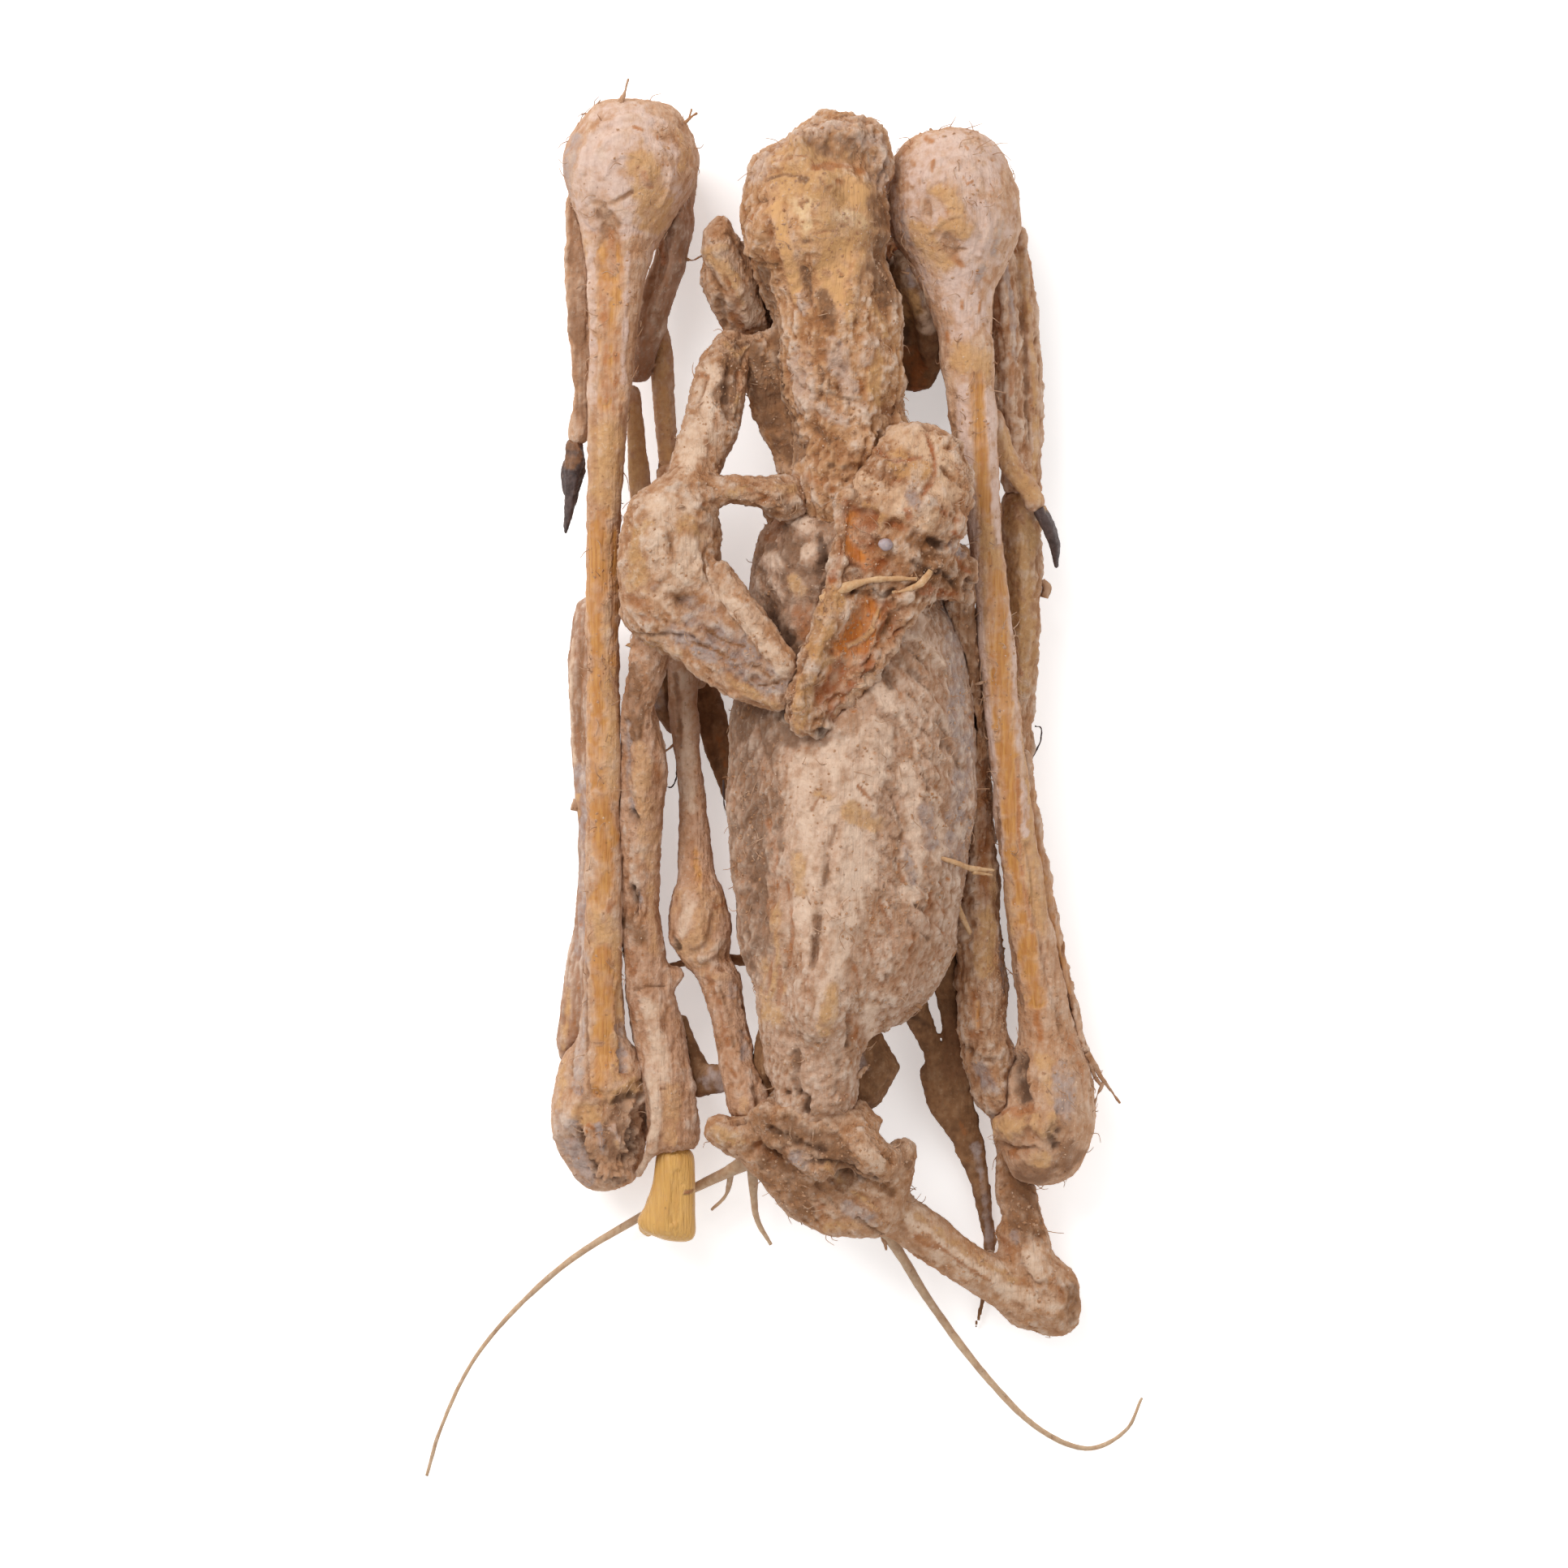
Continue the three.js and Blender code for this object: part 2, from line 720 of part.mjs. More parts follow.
part("thumb_right", tissue, (grow) =>
  bone(
    [
      at(34.6, 60, 17.8, 1.2, 1.5),
      at(36.2, 54, 18.2, 1.4, 1.5),
      at(39.4, 49.6, 18, 1.5, 1.6),
      at(41.4, 46, 17.4, 1.3, 1.4),
    ],
    grow,
    { corners: 5 },
  ),
);

part("thumb_claw_right", horn, (grow) =>
  bone(
    [
      at(42, 45, 17.2, 1, 1.4),
      at(43.5, 42.2, 16.8, 1, 1.3),
      at(44.7, 39, 15.6, 0.8, 1),
      at(45, 35.6, 13.8, 0.4, 0.5),
    ],
    grow,
    { corners: 5 },
  ),
);

part("second_finger_right", tissue, (grow) =>
  bone(
    [
      at(36, 86, 15, 1.8, 2.6),
      at(36.5, 76, 14.6, 2, 2.6),
      at(37, 66, 14, 2.1, 2.4),
      at(38, 56, 13.4, 2.2, 2.4),
      at(38.6, 50, 13, 2.2, 2.4),
    ],
    grow,
    { uneven: 0.12, seed: 5 },
  ),
);

part("third_finger_right", tissue, (grow) =>
  bone(
    [
      at(39, 90, 12, 0.9, 2),
      at(39.8, 80, 12, 1.4, 2),
      at(40.6, 68, 11.4, 1.5, 2),
      at(40.8, 58, 11, 1.5, 2),
      at(40.6, 48, 10.6, 1.5, 2),
    ],
    grow,
    { corners: 5 },
  ),
);

part("wing_skin_right", darkSkin, (grow) =>
  bone(
    [
      at(30, 99, 6.6, 5, 6),
      at(31, 91, 6.4, 6, 6.4),
      at(33, 80, 6, 4.4, 5.4),
      at(35, 68, 5.6, 3, 4.4),
      at(37, 56, 5.4, 2.4, 4),
    ],
    grow,
    { uneven: 0.05, seed: 6 },
  ),
);

part("finger_bundle_right", tissue, (grow) =>
  bone(
    [
      at(38.8, 45, fingerHeight, 2.6, 5),
      at(39.2, 38, fingerHeight, 3.3, 6.6),
      at(39, 24, fingerHeight - 1, 2.9, 6.4),
      at(38.2, 12, fingerHeight - 2, 2.6, 6),
      at(38.2, 0, fingerHeight - 3, 2.4, 5.6),
      at(40, -14, fingerHeight - 4, 2.6, 4.8),
      at(43.4, -30, fingerHeight - 4.6, 2.8, 4.6),
      at(46, -40, fingerHeight - 4.4, 2.6, 4.2),
    ],
    grow,
    { uneven: 0.05, seed: 7 },
  ),
);

part("outer_finger_right", bareBone, (grow) =>
  bone(
    [
      at(39.6, 4, 16, 0.8, 1.3),
      at(41.2, -8, 15.4, 1, 1.3),
      at(43.8, -22, 14.6, 1.1, 1.4),
      at(47, -36, 13.6, 1.2, 1.4),
      at(49, -44, 13, 1.2, 1.4),
    ],
    grow,
    { corners: 5 },
  ),
);

part("wing_fold_right", darkSkin, (grow) => {
  const inner = bone(
    [
      at(21, -35.4, 12, 2.4, 1.4),
      at(23.4, -41.6, 10, 1.8, 1),
      at(26, -48.6, 8, 1.5, 0.9),
    ],
    grow,
    { corners: 5 },
  );
  const outer = bone(
    [
      at(27, -30, 12, 3, 1.6),
      at(28.6, -40, 10, 2.2, 1.2),
      at(29.6, -49.4, 8, 1.8, 1.2),
    ],
    grow,
    { corners: 5 },
  );
  const leaf = bone(
    [
      at(23.4, -47.8, 8, 0.9, 0.8),
      at(27, -51.6, 8, 4, 1.2),
      at(29.8, -57.4, 7, 2.8, 1.1),
      at(32.4, -66, 5, 1.5, 0.9),
      at(34.2, -76, 3, 1.1, 0.8),
    ],
    grow,
  );
  const shaft = bone(
    [
      at(34.2, -76, 3, 1.1, 0.8),
      at(34, -82, 2, 0.6, 0.6),
      at(32, -90.6, 1, 0.4, 0.4),
    ],
    grow,
    { corners: 5 },
  );
  return join(inner, outer, leaf, shaft);
});

// ---- Legs ----
part("femur_right", tissue, (grow) =>
  bone(
    [
      at(17.6, -70.4, 17, 3.5, 3.8),
      at(23.4, -75, 15, 3.5, 3.4),
      at(30, -79.6, 12.4, 3.3, 3.1),
      at(36.6, -83.6, 9.6, 3.5, 3.3),
      at(41, -86.6, 8, 4, 3.8),
    ],
    grow,
    { uneven: 0.03 },
  ),
);

part("knee_right", tissue, (grow) =>
  bone(
    [
      at(40, -79.4, 9, 3.4, 3.6),
      at(43.8, -83.4, 7.4, 4.6, 5),
      at(44.8, -87.6, 6.4, 4.4, 4.8),
    ],
    grow,
    { uneven: 0.06, seed: 2 },
  ),
);

part("tibia_right", tissue, (grow) => {
  const shaft = bone(
    [
      at(40.6, -79, 8.6, 3.8, 3.4),
      at(40, -73.4, 8, 3, 2.8),
      at(38.2, -67.6, 6.6, 3, 2.6),
      at(37.6, -60, 4.4, 2.2, 2.2),
      at(33, -45, 3.6, 1.8, 1.9),
      at(27, -26, 3.4, 1.7, 1.8),
    ],
    grow,
  );
  const snag = bone([at(36.2, -74.4, 8, 1.2, 1.2), at(38, -79.6, 8, 1.8, 1.4)], grow, { corners: 5 });
  return join(shaft, snag);
});

// A foot: the sole and five toes, each ending in a hooked claw, from the heel towards +Y.
function foot(x, y, z, turn, grow) {
  const sole = bone([at(0, 0, 0, 1.9, 1.8), at(0, 5, 0.2, 2.8, 1.7), at(0, 9, 0.2, 3.2, 1.5)], grow);
  let whole = sole;
  for (let i = -2; i <= 2; i++) {
    const toe = bone(
      [at(i * 1.3, 9, 0.2, 0.9, 1), at(i * 2.1, 17, 0.8, 0.75, 0.9), at(i * 2.3, 21.4, -0.9, 0.3, 0.4)],
      grow,
      { corners: 4 },
    );
    whole = whole.add(toe);
  }
  return whole.rotate([0, 0, turn]).translate([x, y, z]);
}

part("foot_right", tissue, (grow) => foot(26.4, -23.6, 3.4, 8, grow));

part("knee_left", tissue, (grow) =>
  bone(
    [
      at(-14.2, -17.6, 14.6, 3.6, 3.6),
      at(-14, -22, 14.4, 4.7, 4.4),
      at(-13.8, -25.6, 14.4, 5, 4.8),
      at(-12.6, -29.4, 14.6, 3.4, 3.6),
    ],
    grow,
    { uneven: 0.05, seed: 4, tip: 0.7 },
  ),
);

part("femur_left", tissue, (grow) => {
  const shaft = bone(
    [
      at(-12.4, -29, 14.6, 2.8, 3),
      at(-10.6, -32.6, 15.4, 3, 3),
      at(-9.4, -37.6, 16.4, 2.5, 2.6),
      at(-8.2, -43, 17.4, 2.6, 2.8),
      at(-6.6, -49.6, 18.6, 3.2, 3.4),
      at(-5, -55, 19.4, 3.6, 3.6),
    ],
    grow,
    { uneven: 0.05, seed: 6 },
  );
  const knob = bone([at(-9, -32.6, 16, 1.6, 2), at(-8.4, -37, 16.6, 1.4, 1.8)], grow, { corners: 5 });
  return join(shaft, knob);
});

part("tibia_left", tissue, (grow) =>
  bone(
    [
      at(-14.3, -17.6, 14.2, 3, 2.8),
      at(-14.7, -10.4, 13.4, 2.4, 2.3),
      at(-15.2, -2.4, 12.8, 1.8, 1.8),
      at(-16, 5, 12.4, 1.8, 1.8),
      at(-16.6, 12, 12.8, 2.2, 2.1),
      at(-16.8, 24, 13.4, 2, 2),
      at(-15.8, 32, 13.4, 2, 2),
    ],
    grow,
  ),
);

part("foot_left", tissue, (grow) => foot(-15.4, 31.6, 14.6, 2, grow));

part("groin_skin_left", darkSkin, (grow) =>
  bone(
    [
      at(-17, -40, 10, 1, 2),
      at(-16, -45.6, 10, 2.2, 1.6),
      at(-14.2, -50, 11.4, 3, 1.3),
      at(-10.4, -49, 14.6, 2.4, 1),
    ],
    grow,
  ),
);

part("leg_cord_left", darkSkin, (grow) =>
  bone(
    [
      at(-19.6, -30.8, 9.6, 0.6, 0.7),
      at(-14, -29.4, 8.6, 0.7, 0.8),
      at(-5, -29.6, 8.2, 0.8, 0.9),
      at(-1, -30.2, 8.2, 0.8, 0.9),
    ],
    grow,
    { corners: 5 },
  ),
);

// ---- Finger ends: long and springy, drying to hair-thin tips that lie on the floor ----
part("fingertip_left", strand, (grow) => {
  const main = bone(
    [
      at(-4.4, -61.4, 12.6, 2, 1.8),
      at(-9.4, -64.2, 10, 1.1, 1),
      at(-16.6, -67.8, 6.4, 0.9, 0.9),
      at(-22.4, -71, 4.8, 0.8, 0.8),
      at(-34.6, -78.4, 3.6, 0.75, 0.7),
      at(-44.6, -87.2, 2.4, 0.65, 0.65),
      at(-52, -96.4, 1.6, 0.55, 0.6),
      at(-57, -107, 1, 0.5, 0.55),
      at(-59.4, -115, strandEnd, 0.4, 0.5),
    ],
    grow,
    { corners: 5, steps: 2 },
  );
  const inner = bone(
    [
      at(-5.2, -62.6, 11, 1.2, 1),
      at(-5, -68.4, 8, 0.6, 0.6),
      at(-4.4, -72.4, 5.6, 0.45, 0.5),
      at(-2.2, -76.4, 3.6, 0.3, 0.4),
    ],
    grow,
    { corners: 5 },
  );
  const outer = bone(
    [
      at(-8.6, -63.6, 10.4, 0.7, 0.7),
      at(-9.6, -68, 7.6, 0.35, 0.4),
      at(-12, -70.6, 6, 0.3, 0.35),
    ],
    grow,
    { corners: 5 },
  );
  return join(main, inner, outer);
});

part("fingertip_right", strand, (grow) =>
  bone(
    [
      at(15.6, -72.4, 13.6, 1.2, 1.1),
      at(19.4, -78, 9, 0.9, 0.9),
      at(24, -85.6, 5.4, 0.8, 0.8),
      at(32.4, -97, 3, 0.7, 0.7),
      at(41.4, -106.4, 1.8, 0.6, 0.65),
      at(50, -110.4, 1.2, 0.5, 0.6),
      at(56.6, -107.6, 1, 0.45, 0.55),
      at(59.5, -102, strandEnd, 0.35, 0.45),
    ],
    grow,
    { corners: 5, steps: 2 },
  ),
);

// ---- Assembly: each part is cut clear of the parts before it and stands on the floor ----
function reach(solid) {
  const box = solid.boundingBox();
  return new THREE.Box3(new THREE.Vector3(...box.min), new THREE.Vector3(...box.max));
}

function largest(solid) {
  return solid.decompose().reduce((best, body) => (body.volume() > best.volume() ? body : best));
}

function meshOf(name, finish, solid) {
  const made = solid.getMesh();
  const shape = new THREE.BufferGeometry();
  const places = new Float32Array(made.numVert * 3);
  for (let i = 0; i < made.numVert; i++) {
    for (let k = 0; k < 3; k++) places[3 * i + k] = made.vertProperties[i * made.numProp + k];
  }
  shape.setAttribute("position", new THREE.BufferAttribute(places, 3));
  shape.setIndex(new THREE.BufferAttribute(new Uint32Array(made.triVerts), 1));
  shape.computeVertexNormals();
  const mesh = new THREE.Mesh(shape, new THREE.MeshStandardMaterial(finish));
  mesh.name = name;
  return mesh;
}

const bat = new THREE.Group();
bat.name = "fruit_bat_skeleton";
const placed = [];
for (const { name, finish, build } of parts) {
  let solid = build(0).trimByPlane([0, 0, 1], 0);
  const own = reach(solid);
  for (const before of placed) {
    if (own.intersectsBox(before.box)) solid = solid.subtract(before.fat);
  }
  solid = largest(largest(solid).simplify(smoothing));
  const fat = build(clearance);
  placed.push({ fat, box: reach(fat) });
  bat.add(meshOf(name, finish, solid));
}

const box = new THREE.Box3().setFromObject(bat);
const middle = box.getCenter(new THREE.Vector3());
bat.position.set(-middle.x, -middle.y, -box.min.z);

export default bat;
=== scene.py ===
import bmesh
import bpy
import numpy as np
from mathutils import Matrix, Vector


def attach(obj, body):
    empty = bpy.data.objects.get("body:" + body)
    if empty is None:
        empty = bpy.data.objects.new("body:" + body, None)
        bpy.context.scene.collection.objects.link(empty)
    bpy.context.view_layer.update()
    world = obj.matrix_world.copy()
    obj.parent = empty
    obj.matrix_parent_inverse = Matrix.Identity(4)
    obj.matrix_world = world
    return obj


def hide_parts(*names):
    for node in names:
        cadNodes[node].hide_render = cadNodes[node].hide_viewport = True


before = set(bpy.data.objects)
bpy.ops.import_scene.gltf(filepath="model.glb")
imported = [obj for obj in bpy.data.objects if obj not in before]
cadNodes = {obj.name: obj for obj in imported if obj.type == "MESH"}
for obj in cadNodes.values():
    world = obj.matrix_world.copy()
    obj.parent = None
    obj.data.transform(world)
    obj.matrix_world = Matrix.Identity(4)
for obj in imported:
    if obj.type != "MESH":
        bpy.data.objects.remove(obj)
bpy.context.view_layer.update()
mm = 0.001
middle = np.array([0.0, 1.1, 0.0])  # places in this file are in mm from this point of the frame
random = np.random.default_rng(7)
layerShift = 17.3  # moves each finer layer of noise in mm, so that layers don't line up
layerFade = 0.55
ridgeShift = 9.1
ridgeFade = 0.5


# Noise is smooth and repeatable, from -1 to 1.
def cornerValue(cell, seed):
    n = cell[..., 0] * 374761393 + cell[..., 1] * 668265263 + cell[..., 2] * 1442695041 + seed * 362437
    n = (n ^ (n >> 13)) * 1274126177
    n = n ^ (n >> 16)
    return (n & 0xFFFFFF) / 0x7FFFFF - 1.0


def noise(points, size, seed):
    spot = points / size
    cell = np.floor(spot).astype(np.int64)
    part = spot - cell
    part = part * part * (3 - 2 * part)
    total = np.zeros(len(points))
    for dx in (0, 1):
        for dy in (0, 1):
            for dz in (0, 1):
                corner = np.array([dx, dy, dz])
                weight = np.abs(1 - corner - part).prod(axis=1)
                total += weight * cornerValue(cell + corner, seed)
    return total


def layered(points, size, seed, layers=3):
    total, share = np.zeros(len(points)), 1.0
    for i in range(layers):
        total += share * noise(points + layerShift * i, size * 0.5**i, seed + i)
        share *= layerFade
    return total


def ridged(points, size, seed, layers=2):  # sharp creases between round swellings, from 0 in a crease to 1
    total, share = np.zeros(len(points)), 1.0
    for i in range(layers):
        total += share * np.abs(noise(points + ridgeShift * i, size * 0.5**i, seed + i))
        share *= ridgeFade
    return np.clip(total * 1.6, 0, 1)


def alongFibres(points, turn, stretch):  # points squeezed along the fibre direction, turn degrees from +Y
    angle = np.radians(turn)
    along = points[:, 1] * np.cos(angle) - points[:, 0] * np.sin(angle)
    across = points[:, 1] * np.sin(angle) + points[:, 0] * np.cos(angle)
    return np.stack([across, along / stretch, points[:, 2]], axis=1)


def smoothStep(value, low, high):
    share = np.clip((value - low) / (high - low), 0, 1)
    return share * share * (3 - 2 * share)


def tubeInto(shape, route, radii, corners=6):  # a closed, round-ended tube through the points, in mm
    route = [np.array(p, float) for p in route]
    rings = []
    for i, spot in enumerate(route):
        ahead = route[min(i + 1, len(route) - 1)] - route[max(i - 1, 0)]
        ahead = ahead / max(np.linalg.norm(ahead), 1e-6)
        side = np.cross(ahead, (0, 0, 1) if abs(ahead[2]) < 0.9 else (1, 0, 0))
        side = side / np.linalg.norm(side)
        up = np.cross(side, ahead)
        turns = 2 * np.pi * np.arange(corners) / corners
        ring = spot + radii[i] * (np.outer(np.cos(turns), side) + np.outer(np.sin(turns), up))
        rings.append([shape.verts.new((p + middle) * mm) for p in ring])
    for a, b in zip(rings, rings[1:]):
        for k in range(corners):
            m = (k + 1) % corners
            shape.faces.new((a[k], a[m], b[m], b[k]))
    shape.faces.new(rings[0][::-1])
    shape.faces.new(rings[-1])


def curved(route, steps=6):  # a smooth line through the points
    route = [np.array(p, float) for p in route]
    if len(route) < 3:
        return [route[0] + (route[-1] - route[0]) * t for t in np.linspace(0, 1, steps)]
    ends = [2 * route[0] - route[1], *route, 2 * route[-1] - route[-2]]
    line = []
    for a, b, c, d in zip(ends, ends[1:], ends[2:], ends[3:]):
        for t in np.arange(steps) / steps:
            bend = (2 * a - 5 * b + 4 * c - d) * t**2 + (3 * b - a - 3 * c + d) * t**3
            line.append(0.5 * (2 * b + (c - a) * t + bend))
    return [*line, route[-1]]


def spread(values, count):  # values stretched evenly to count numbers
    return np.interp(np.linspace(0, 1, count), np.linspace(0, 1, len(values)), values)


def addTube(shape, route, steps, corners):  # a smooth tube; each point is x, y, z and radius
    line = curved([point[:3] for point in route], steps)
    tubeInto(shape, line, spread([point[3] for point in route], len(line)), corners)


def copyNodes(names, swell):  # the solids welded into one editable shape and swollen to meet
    shape = bmesh.new()
    for name in names:
        single = bmesh.new()
        single.from_mesh(cadNodes[name].data)
        bmesh.ops.remove_doubles(single, verts=single.verts, dist=2e-5)
        bmesh.ops.recalc_face_normals(single, faces=single.faces)
        single.normal_update()
        moved = [v.co + v.normal * swell * mm for v in single.verts]
        made = [shape.verts.new(p) for p in moved]
        for face in single.faces:
            shape.faces.new([made[v.index] for v in face.verts])
        single.free()
    return shape


def newObject(name, shape):
    mesh = bpy.data.meshes.new(name)
    shape.to_mesh(mesh)
    shape.free()
    piece = bpy.data.objects.new(name, mesh)
    bpy.context.scene.collection.objects.link(piece)
    return piece


def applyModifiers(piece):
    graph = bpy.context.evaluated_depsgraph_get()
    baked = bpy.data.meshes.new_from_object(piece.evaluated_get(graph))
    piece.modifiers.clear()
    piece.data = baked
    baked.name = piece.name


def placesOf(mesh):
    flat = np.zeros(len(mesh.vertices) * 3)
    mesh.vertices.foreach_get("co", flat)
    return flat.reshape(-1, 3) / mm - middle


def normalsOf(mesh):
    flat = np.zeros(len(mesh.vertices) * 3)
    mesh.vertex_normals.foreach_get("vector", flat)
    return flat.reshape(-1, 3)


def setPlaces(mesh, places):
    world = (places + middle) * mm
    world[:, 2] = np.maximum(world[:, 2], 0)  # nothing reaches under the floor
    mesh.vertices.foreach_set("co", world.ravel())
    mesh.update()


def distanceTo(points, route):  # distance in plan from a bent line
    best = np.full(len(points), 1e9)
    flat = points[:, :2]
    route = [np.array(p[:2], float) for p in route]
    if len(route) == 1:
        return np.linalg.norm(flat - route[0], axis=1)
    for a, b in zip(route, route[1:]):
        step = b - a
        share = np.clip(((flat - a) @ step) / max(step @ step, 1e-9), 0, 1)
        best = np.minimum(best, np.linalg.norm(flat - a - share[:, None] * step, axis=1))
    return best


creaseStretch = 2.2  # creases and pits are this much longer along the fibres
swingHeight = 0.35  # mm above or below the mean at which a spot counts as fully high or low, for the painted shade in hollows and the pale crust with painted highlight on crests
facingFrom, facingFull = -0.25, 0.45  # upward part of the normal between which marks fade in
pitFrom, pitFull = 0.55, 0.95
crustOverFibres = 0.85  # share of the fibres that a crust hides
calmOverLumps = 0.6  # share of the lumps that a calm place loses
creaseDark, pitDark, deepestShade = 2.2, 2.5, 0.5  # painted shade: how dark creases and pits get for their depth
# the dark mask is painted shade in creases, pits and recesses
maskNames = ("amber", "bare", "brown", "cream", "dark", "grey", "rust")
surface = {  # height in mm and size in mm of each kind of unevenness; a piece overrides what differs
    "lumps": (0.4, 5.0),
    "fibres": (0.2, 1.0, 9.0),
    "crumbs": (0.2, 1.0),
    "creases": (0.25, 2.6),
    "pits": (0.22, 1.4),
    "turns": (0.0, 0.0, 0.0),  # fibre direction left and right of the place given last, degrees from +Y
}
usual = {  # what a piece has unless its own dictionary says otherwise; sizes in mm
    "material": "tissue",
    "slot": "dried_tissue",
    "swell": 0.35,  # closes the gaps between the solids
    "coarse": 0.75,  # grid that welds the solids
    "soften": 10,  # rounds of smoothing after the weld
    "voxel": 0.36,  # grid of the final skin
    "finalSoften": 3,
    "cords": [],  # extra tissue: each point is x, y, z and radius
    "strokes": [],
    "surface": {},
    "all": {},  # masks that cover the whole piece
    "calm": 0.0,
}


def fibreField(places, settings, seed):  # ridges along the fibres, two directions that meet softly
    left, right, meet = settings["turns"]
    size, stretch = settings["fibres"][1:]
    first = ridged(alongFibres(places, left, stretch), size, seed)
    if left == right:
        return first
    second = ridged(alongFibres(places, right, stretch), size, seed)
    share = smoothStep(places[:, 0], meet - 4, meet + 4)
    return first * (1 - share) + second * share


marking = {  # how marks lie on the surface; sizes in mm
    "wander": 4.0,  # size of the slow wobble of a mark's edge
    "ragged": 1.3,  # size of its crumbling
    "patches": 1.7,  # size of thin places inside it
    "broadFrom": 1.0,  # marks with a larger half width are broad: their edges wobble more and they fill in
    "reach": 2.4,  # how many half widths a mark is worked out for
    "hides": 0.85,  # how much of the older marks a new one hides
    "fills": {"bare": 0.15, "cream": 0.12, "amber": 0.1, "brown": 0.12},  # how evenly broad marks fill in
    "calms": {"bare": 0.8, "cream": 0.5, "amber": 0.4},  # how much a mark smooths what it covers
}


def applyStrokes(strokes, places, seed, facing, masks):  # paints the masks; gives height, calm and crust
    height, calm, crust = np.zeros(len(places)), np.zeros(len(places)), np.zeros(len(places))
    wander = layered(places, marking["wander"], seed + 50, 3)
    ragged = layered(places, marking["ragged"], seed + 60, 3)
    patchy = 0.72 + 0.4 * layered(places, marking["patches"], seed + 70, 3)
    for kind, wide, lift, *route in strokes:
        broad = wide > marking["broadFrom"]
        line = curved([(x, y, 0) for x, y in route], 5) if len(route) > 2 else route
        reach = distanceTo(places, line) / wide
        near = reach < marking["reach"]
        edge = (0.5 if wide > 1.2 else 0.1) * wander[near] + (0.35 if broad else 0.55) * ragged[near]
        weight = np.zeros(len(places))
        weight[near] = smoothStep((1.1 if broad else 0.8) + edge - reach[near], -0.45, 0.55) * facing[near]
        height += lift * weight
        if kind == "calm":
            calm = np.maximum(calm, 0.75 * weight)
        if kind == "crust":
            crust = np.maximum(crust, weight)
        if kind not in masks:
            continue
        if kind != "dark":  # the last mark lies on top
            for other in maskNames:
                masks[other] *= 1 - marking["hides"] * weight
        even = marking["fills"].get(kind, 0) if broad else 0
        masks[kind] = np.maximum(masks[kind], weight * np.clip(patchy + even, 0.3 + even, 1))
        calm = np.maximum(calm, marking["calms"].get(kind, 0) * weight)
    return height, calm, crust


def sculpt(piece, look, seed):
    mesh = piece.data
    places, normals = placesOf(mesh), normalsOf(mesh)
    look = {**usual, **look}
    settings = {**surface, **look["surface"]}
    masks = {name: np.full(len(places), float(look["all"].get(name, 0))) for name in maskNames}
    facing = smoothStep(normals[:, 2], facingFrom, facingFull)
    strokeHeight, calm, crust = applyStrokes(look["strokes"], places, seed, facing, masks)
    calm = np.maximum(calm, look["calm"])
    rough = (1 - calm) * (1 + crust)
    squeezed = alongFibres(places, settings["turns"][0], creaseStretch)
    fibre = fibreField(places, settings, seed + 10)
    crease = (1 - ridged(squeezed, settings["creases"][1], seed + 30)) ** 3
    crumb = layered(places, settings["crumbs"][1], seed + 20, 3)
    pit = smoothStep(layered(squeezed, settings["pits"][1], seed + 40, 2), pitFrom, pitFull)
    lump = layered(places, settings["lumps"][1], seed, 3)
    high = {kind: settings[kind][0] for kind in ("lumps", "fibres", "crumbs", "creases", "pits")}
    fine = high["fibres"] * (fibre - 0.5) * (1 - crustOverFibres * crust) + high["crumbs"] * crumb
    fine -= high["creases"] * crease + high["pits"] * pit
    height = high["lumps"] * lump * (1 - calmOverLumps * calm) + rough * fine + strokeHeight
    # painted shade: creases and pits are darkened by their depth
    depth = min(1, creaseDark * high["creases"]) * crease + min(1, pitDark * high["pits"]) * pit
    masks["dark"] = np.clip(masks["dark"] + deepestShade * np.minimum(rough, 1) * depth, 0, 1)
    # low is painted shade in the hollows; high is pale crust with a painted highlight on the crests
    swing = fine / swingHeight + high["lumps"] * lump
    masks["low"] = smoothStep(-swing, -0.1, 0.9) * np.minimum(rough, 1)
    masks["high"] = smoothStep(swing, 0.0, 0.9) * np.minimum(rough, 1)
    setPlaces(mesh, places + normals * height[:, None])
    for name, values in masks.items():
        mesh.attributes.new(name, "FLOAT", "POINT").data.foreach_set("value", values.astype(np.float32))
    mesh.polygons.foreach_set("use_smooth", np.ones(len(mesh.polygons), bool))


def buildPiece(name, changes, seed):
    look = {**usual, **changes}
    shape = copyNodes(look["nodes"], look["swell"])
    for cord in look["cords"]:
        addTube(shape, cord, 6, 8)
    piece = newObject(name, shape)
    welding = ("first", look["coarse"], look["soften"])
    skinning = ("last", look["voxel"], look["finalSoften"])
    for stage, size, rounds in (welding, skinning):
        remesh = piece.modifiers.new(stage + "Skin", "REMESH")
        remesh.mode = "VOXEL"
        remesh.voxel_size = size * mm
        soften = piece.modifiers.new(stage + "Smoothing", "SMOOTH")
        soften.factor = 0.5
        soften.iterations = rounds
    applyModifiers(piece)
    sculpt(piece, look, seed)
    piece.data.materials.append(materials[look["material"]])
    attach(piece, "root")
    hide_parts(*look["nodes"])
    print(name, len(piece.data.polygons), "faces")
    return piece


def rgb(red, green, blue):  # a screen colour from 0 to 255, as the linear colour that shading uses
    parts = [((c / 255 + 0.055) / 1.055) ** 2.4 if c > 10 else c / 255 / 12.92 for c in (red, green, blue)]
    return (*parts, 1.0)


def feed(tree, socket, value):  # links another socket, or sets a fixed value
    if isinstance(value, bpy.types.NodeSocket):
        tree.links.new(value, socket)
    else:
        socket.default_value = value


def addNode(tree, kind, inputs=None, **settings):
    node = tree.nodes.new(kind)
    for key, value in settings.items():
        setattr(node, key, value)
    for key, value in (inputs or {}).items():
        feed(tree, node.inputs[key], value)
    return node


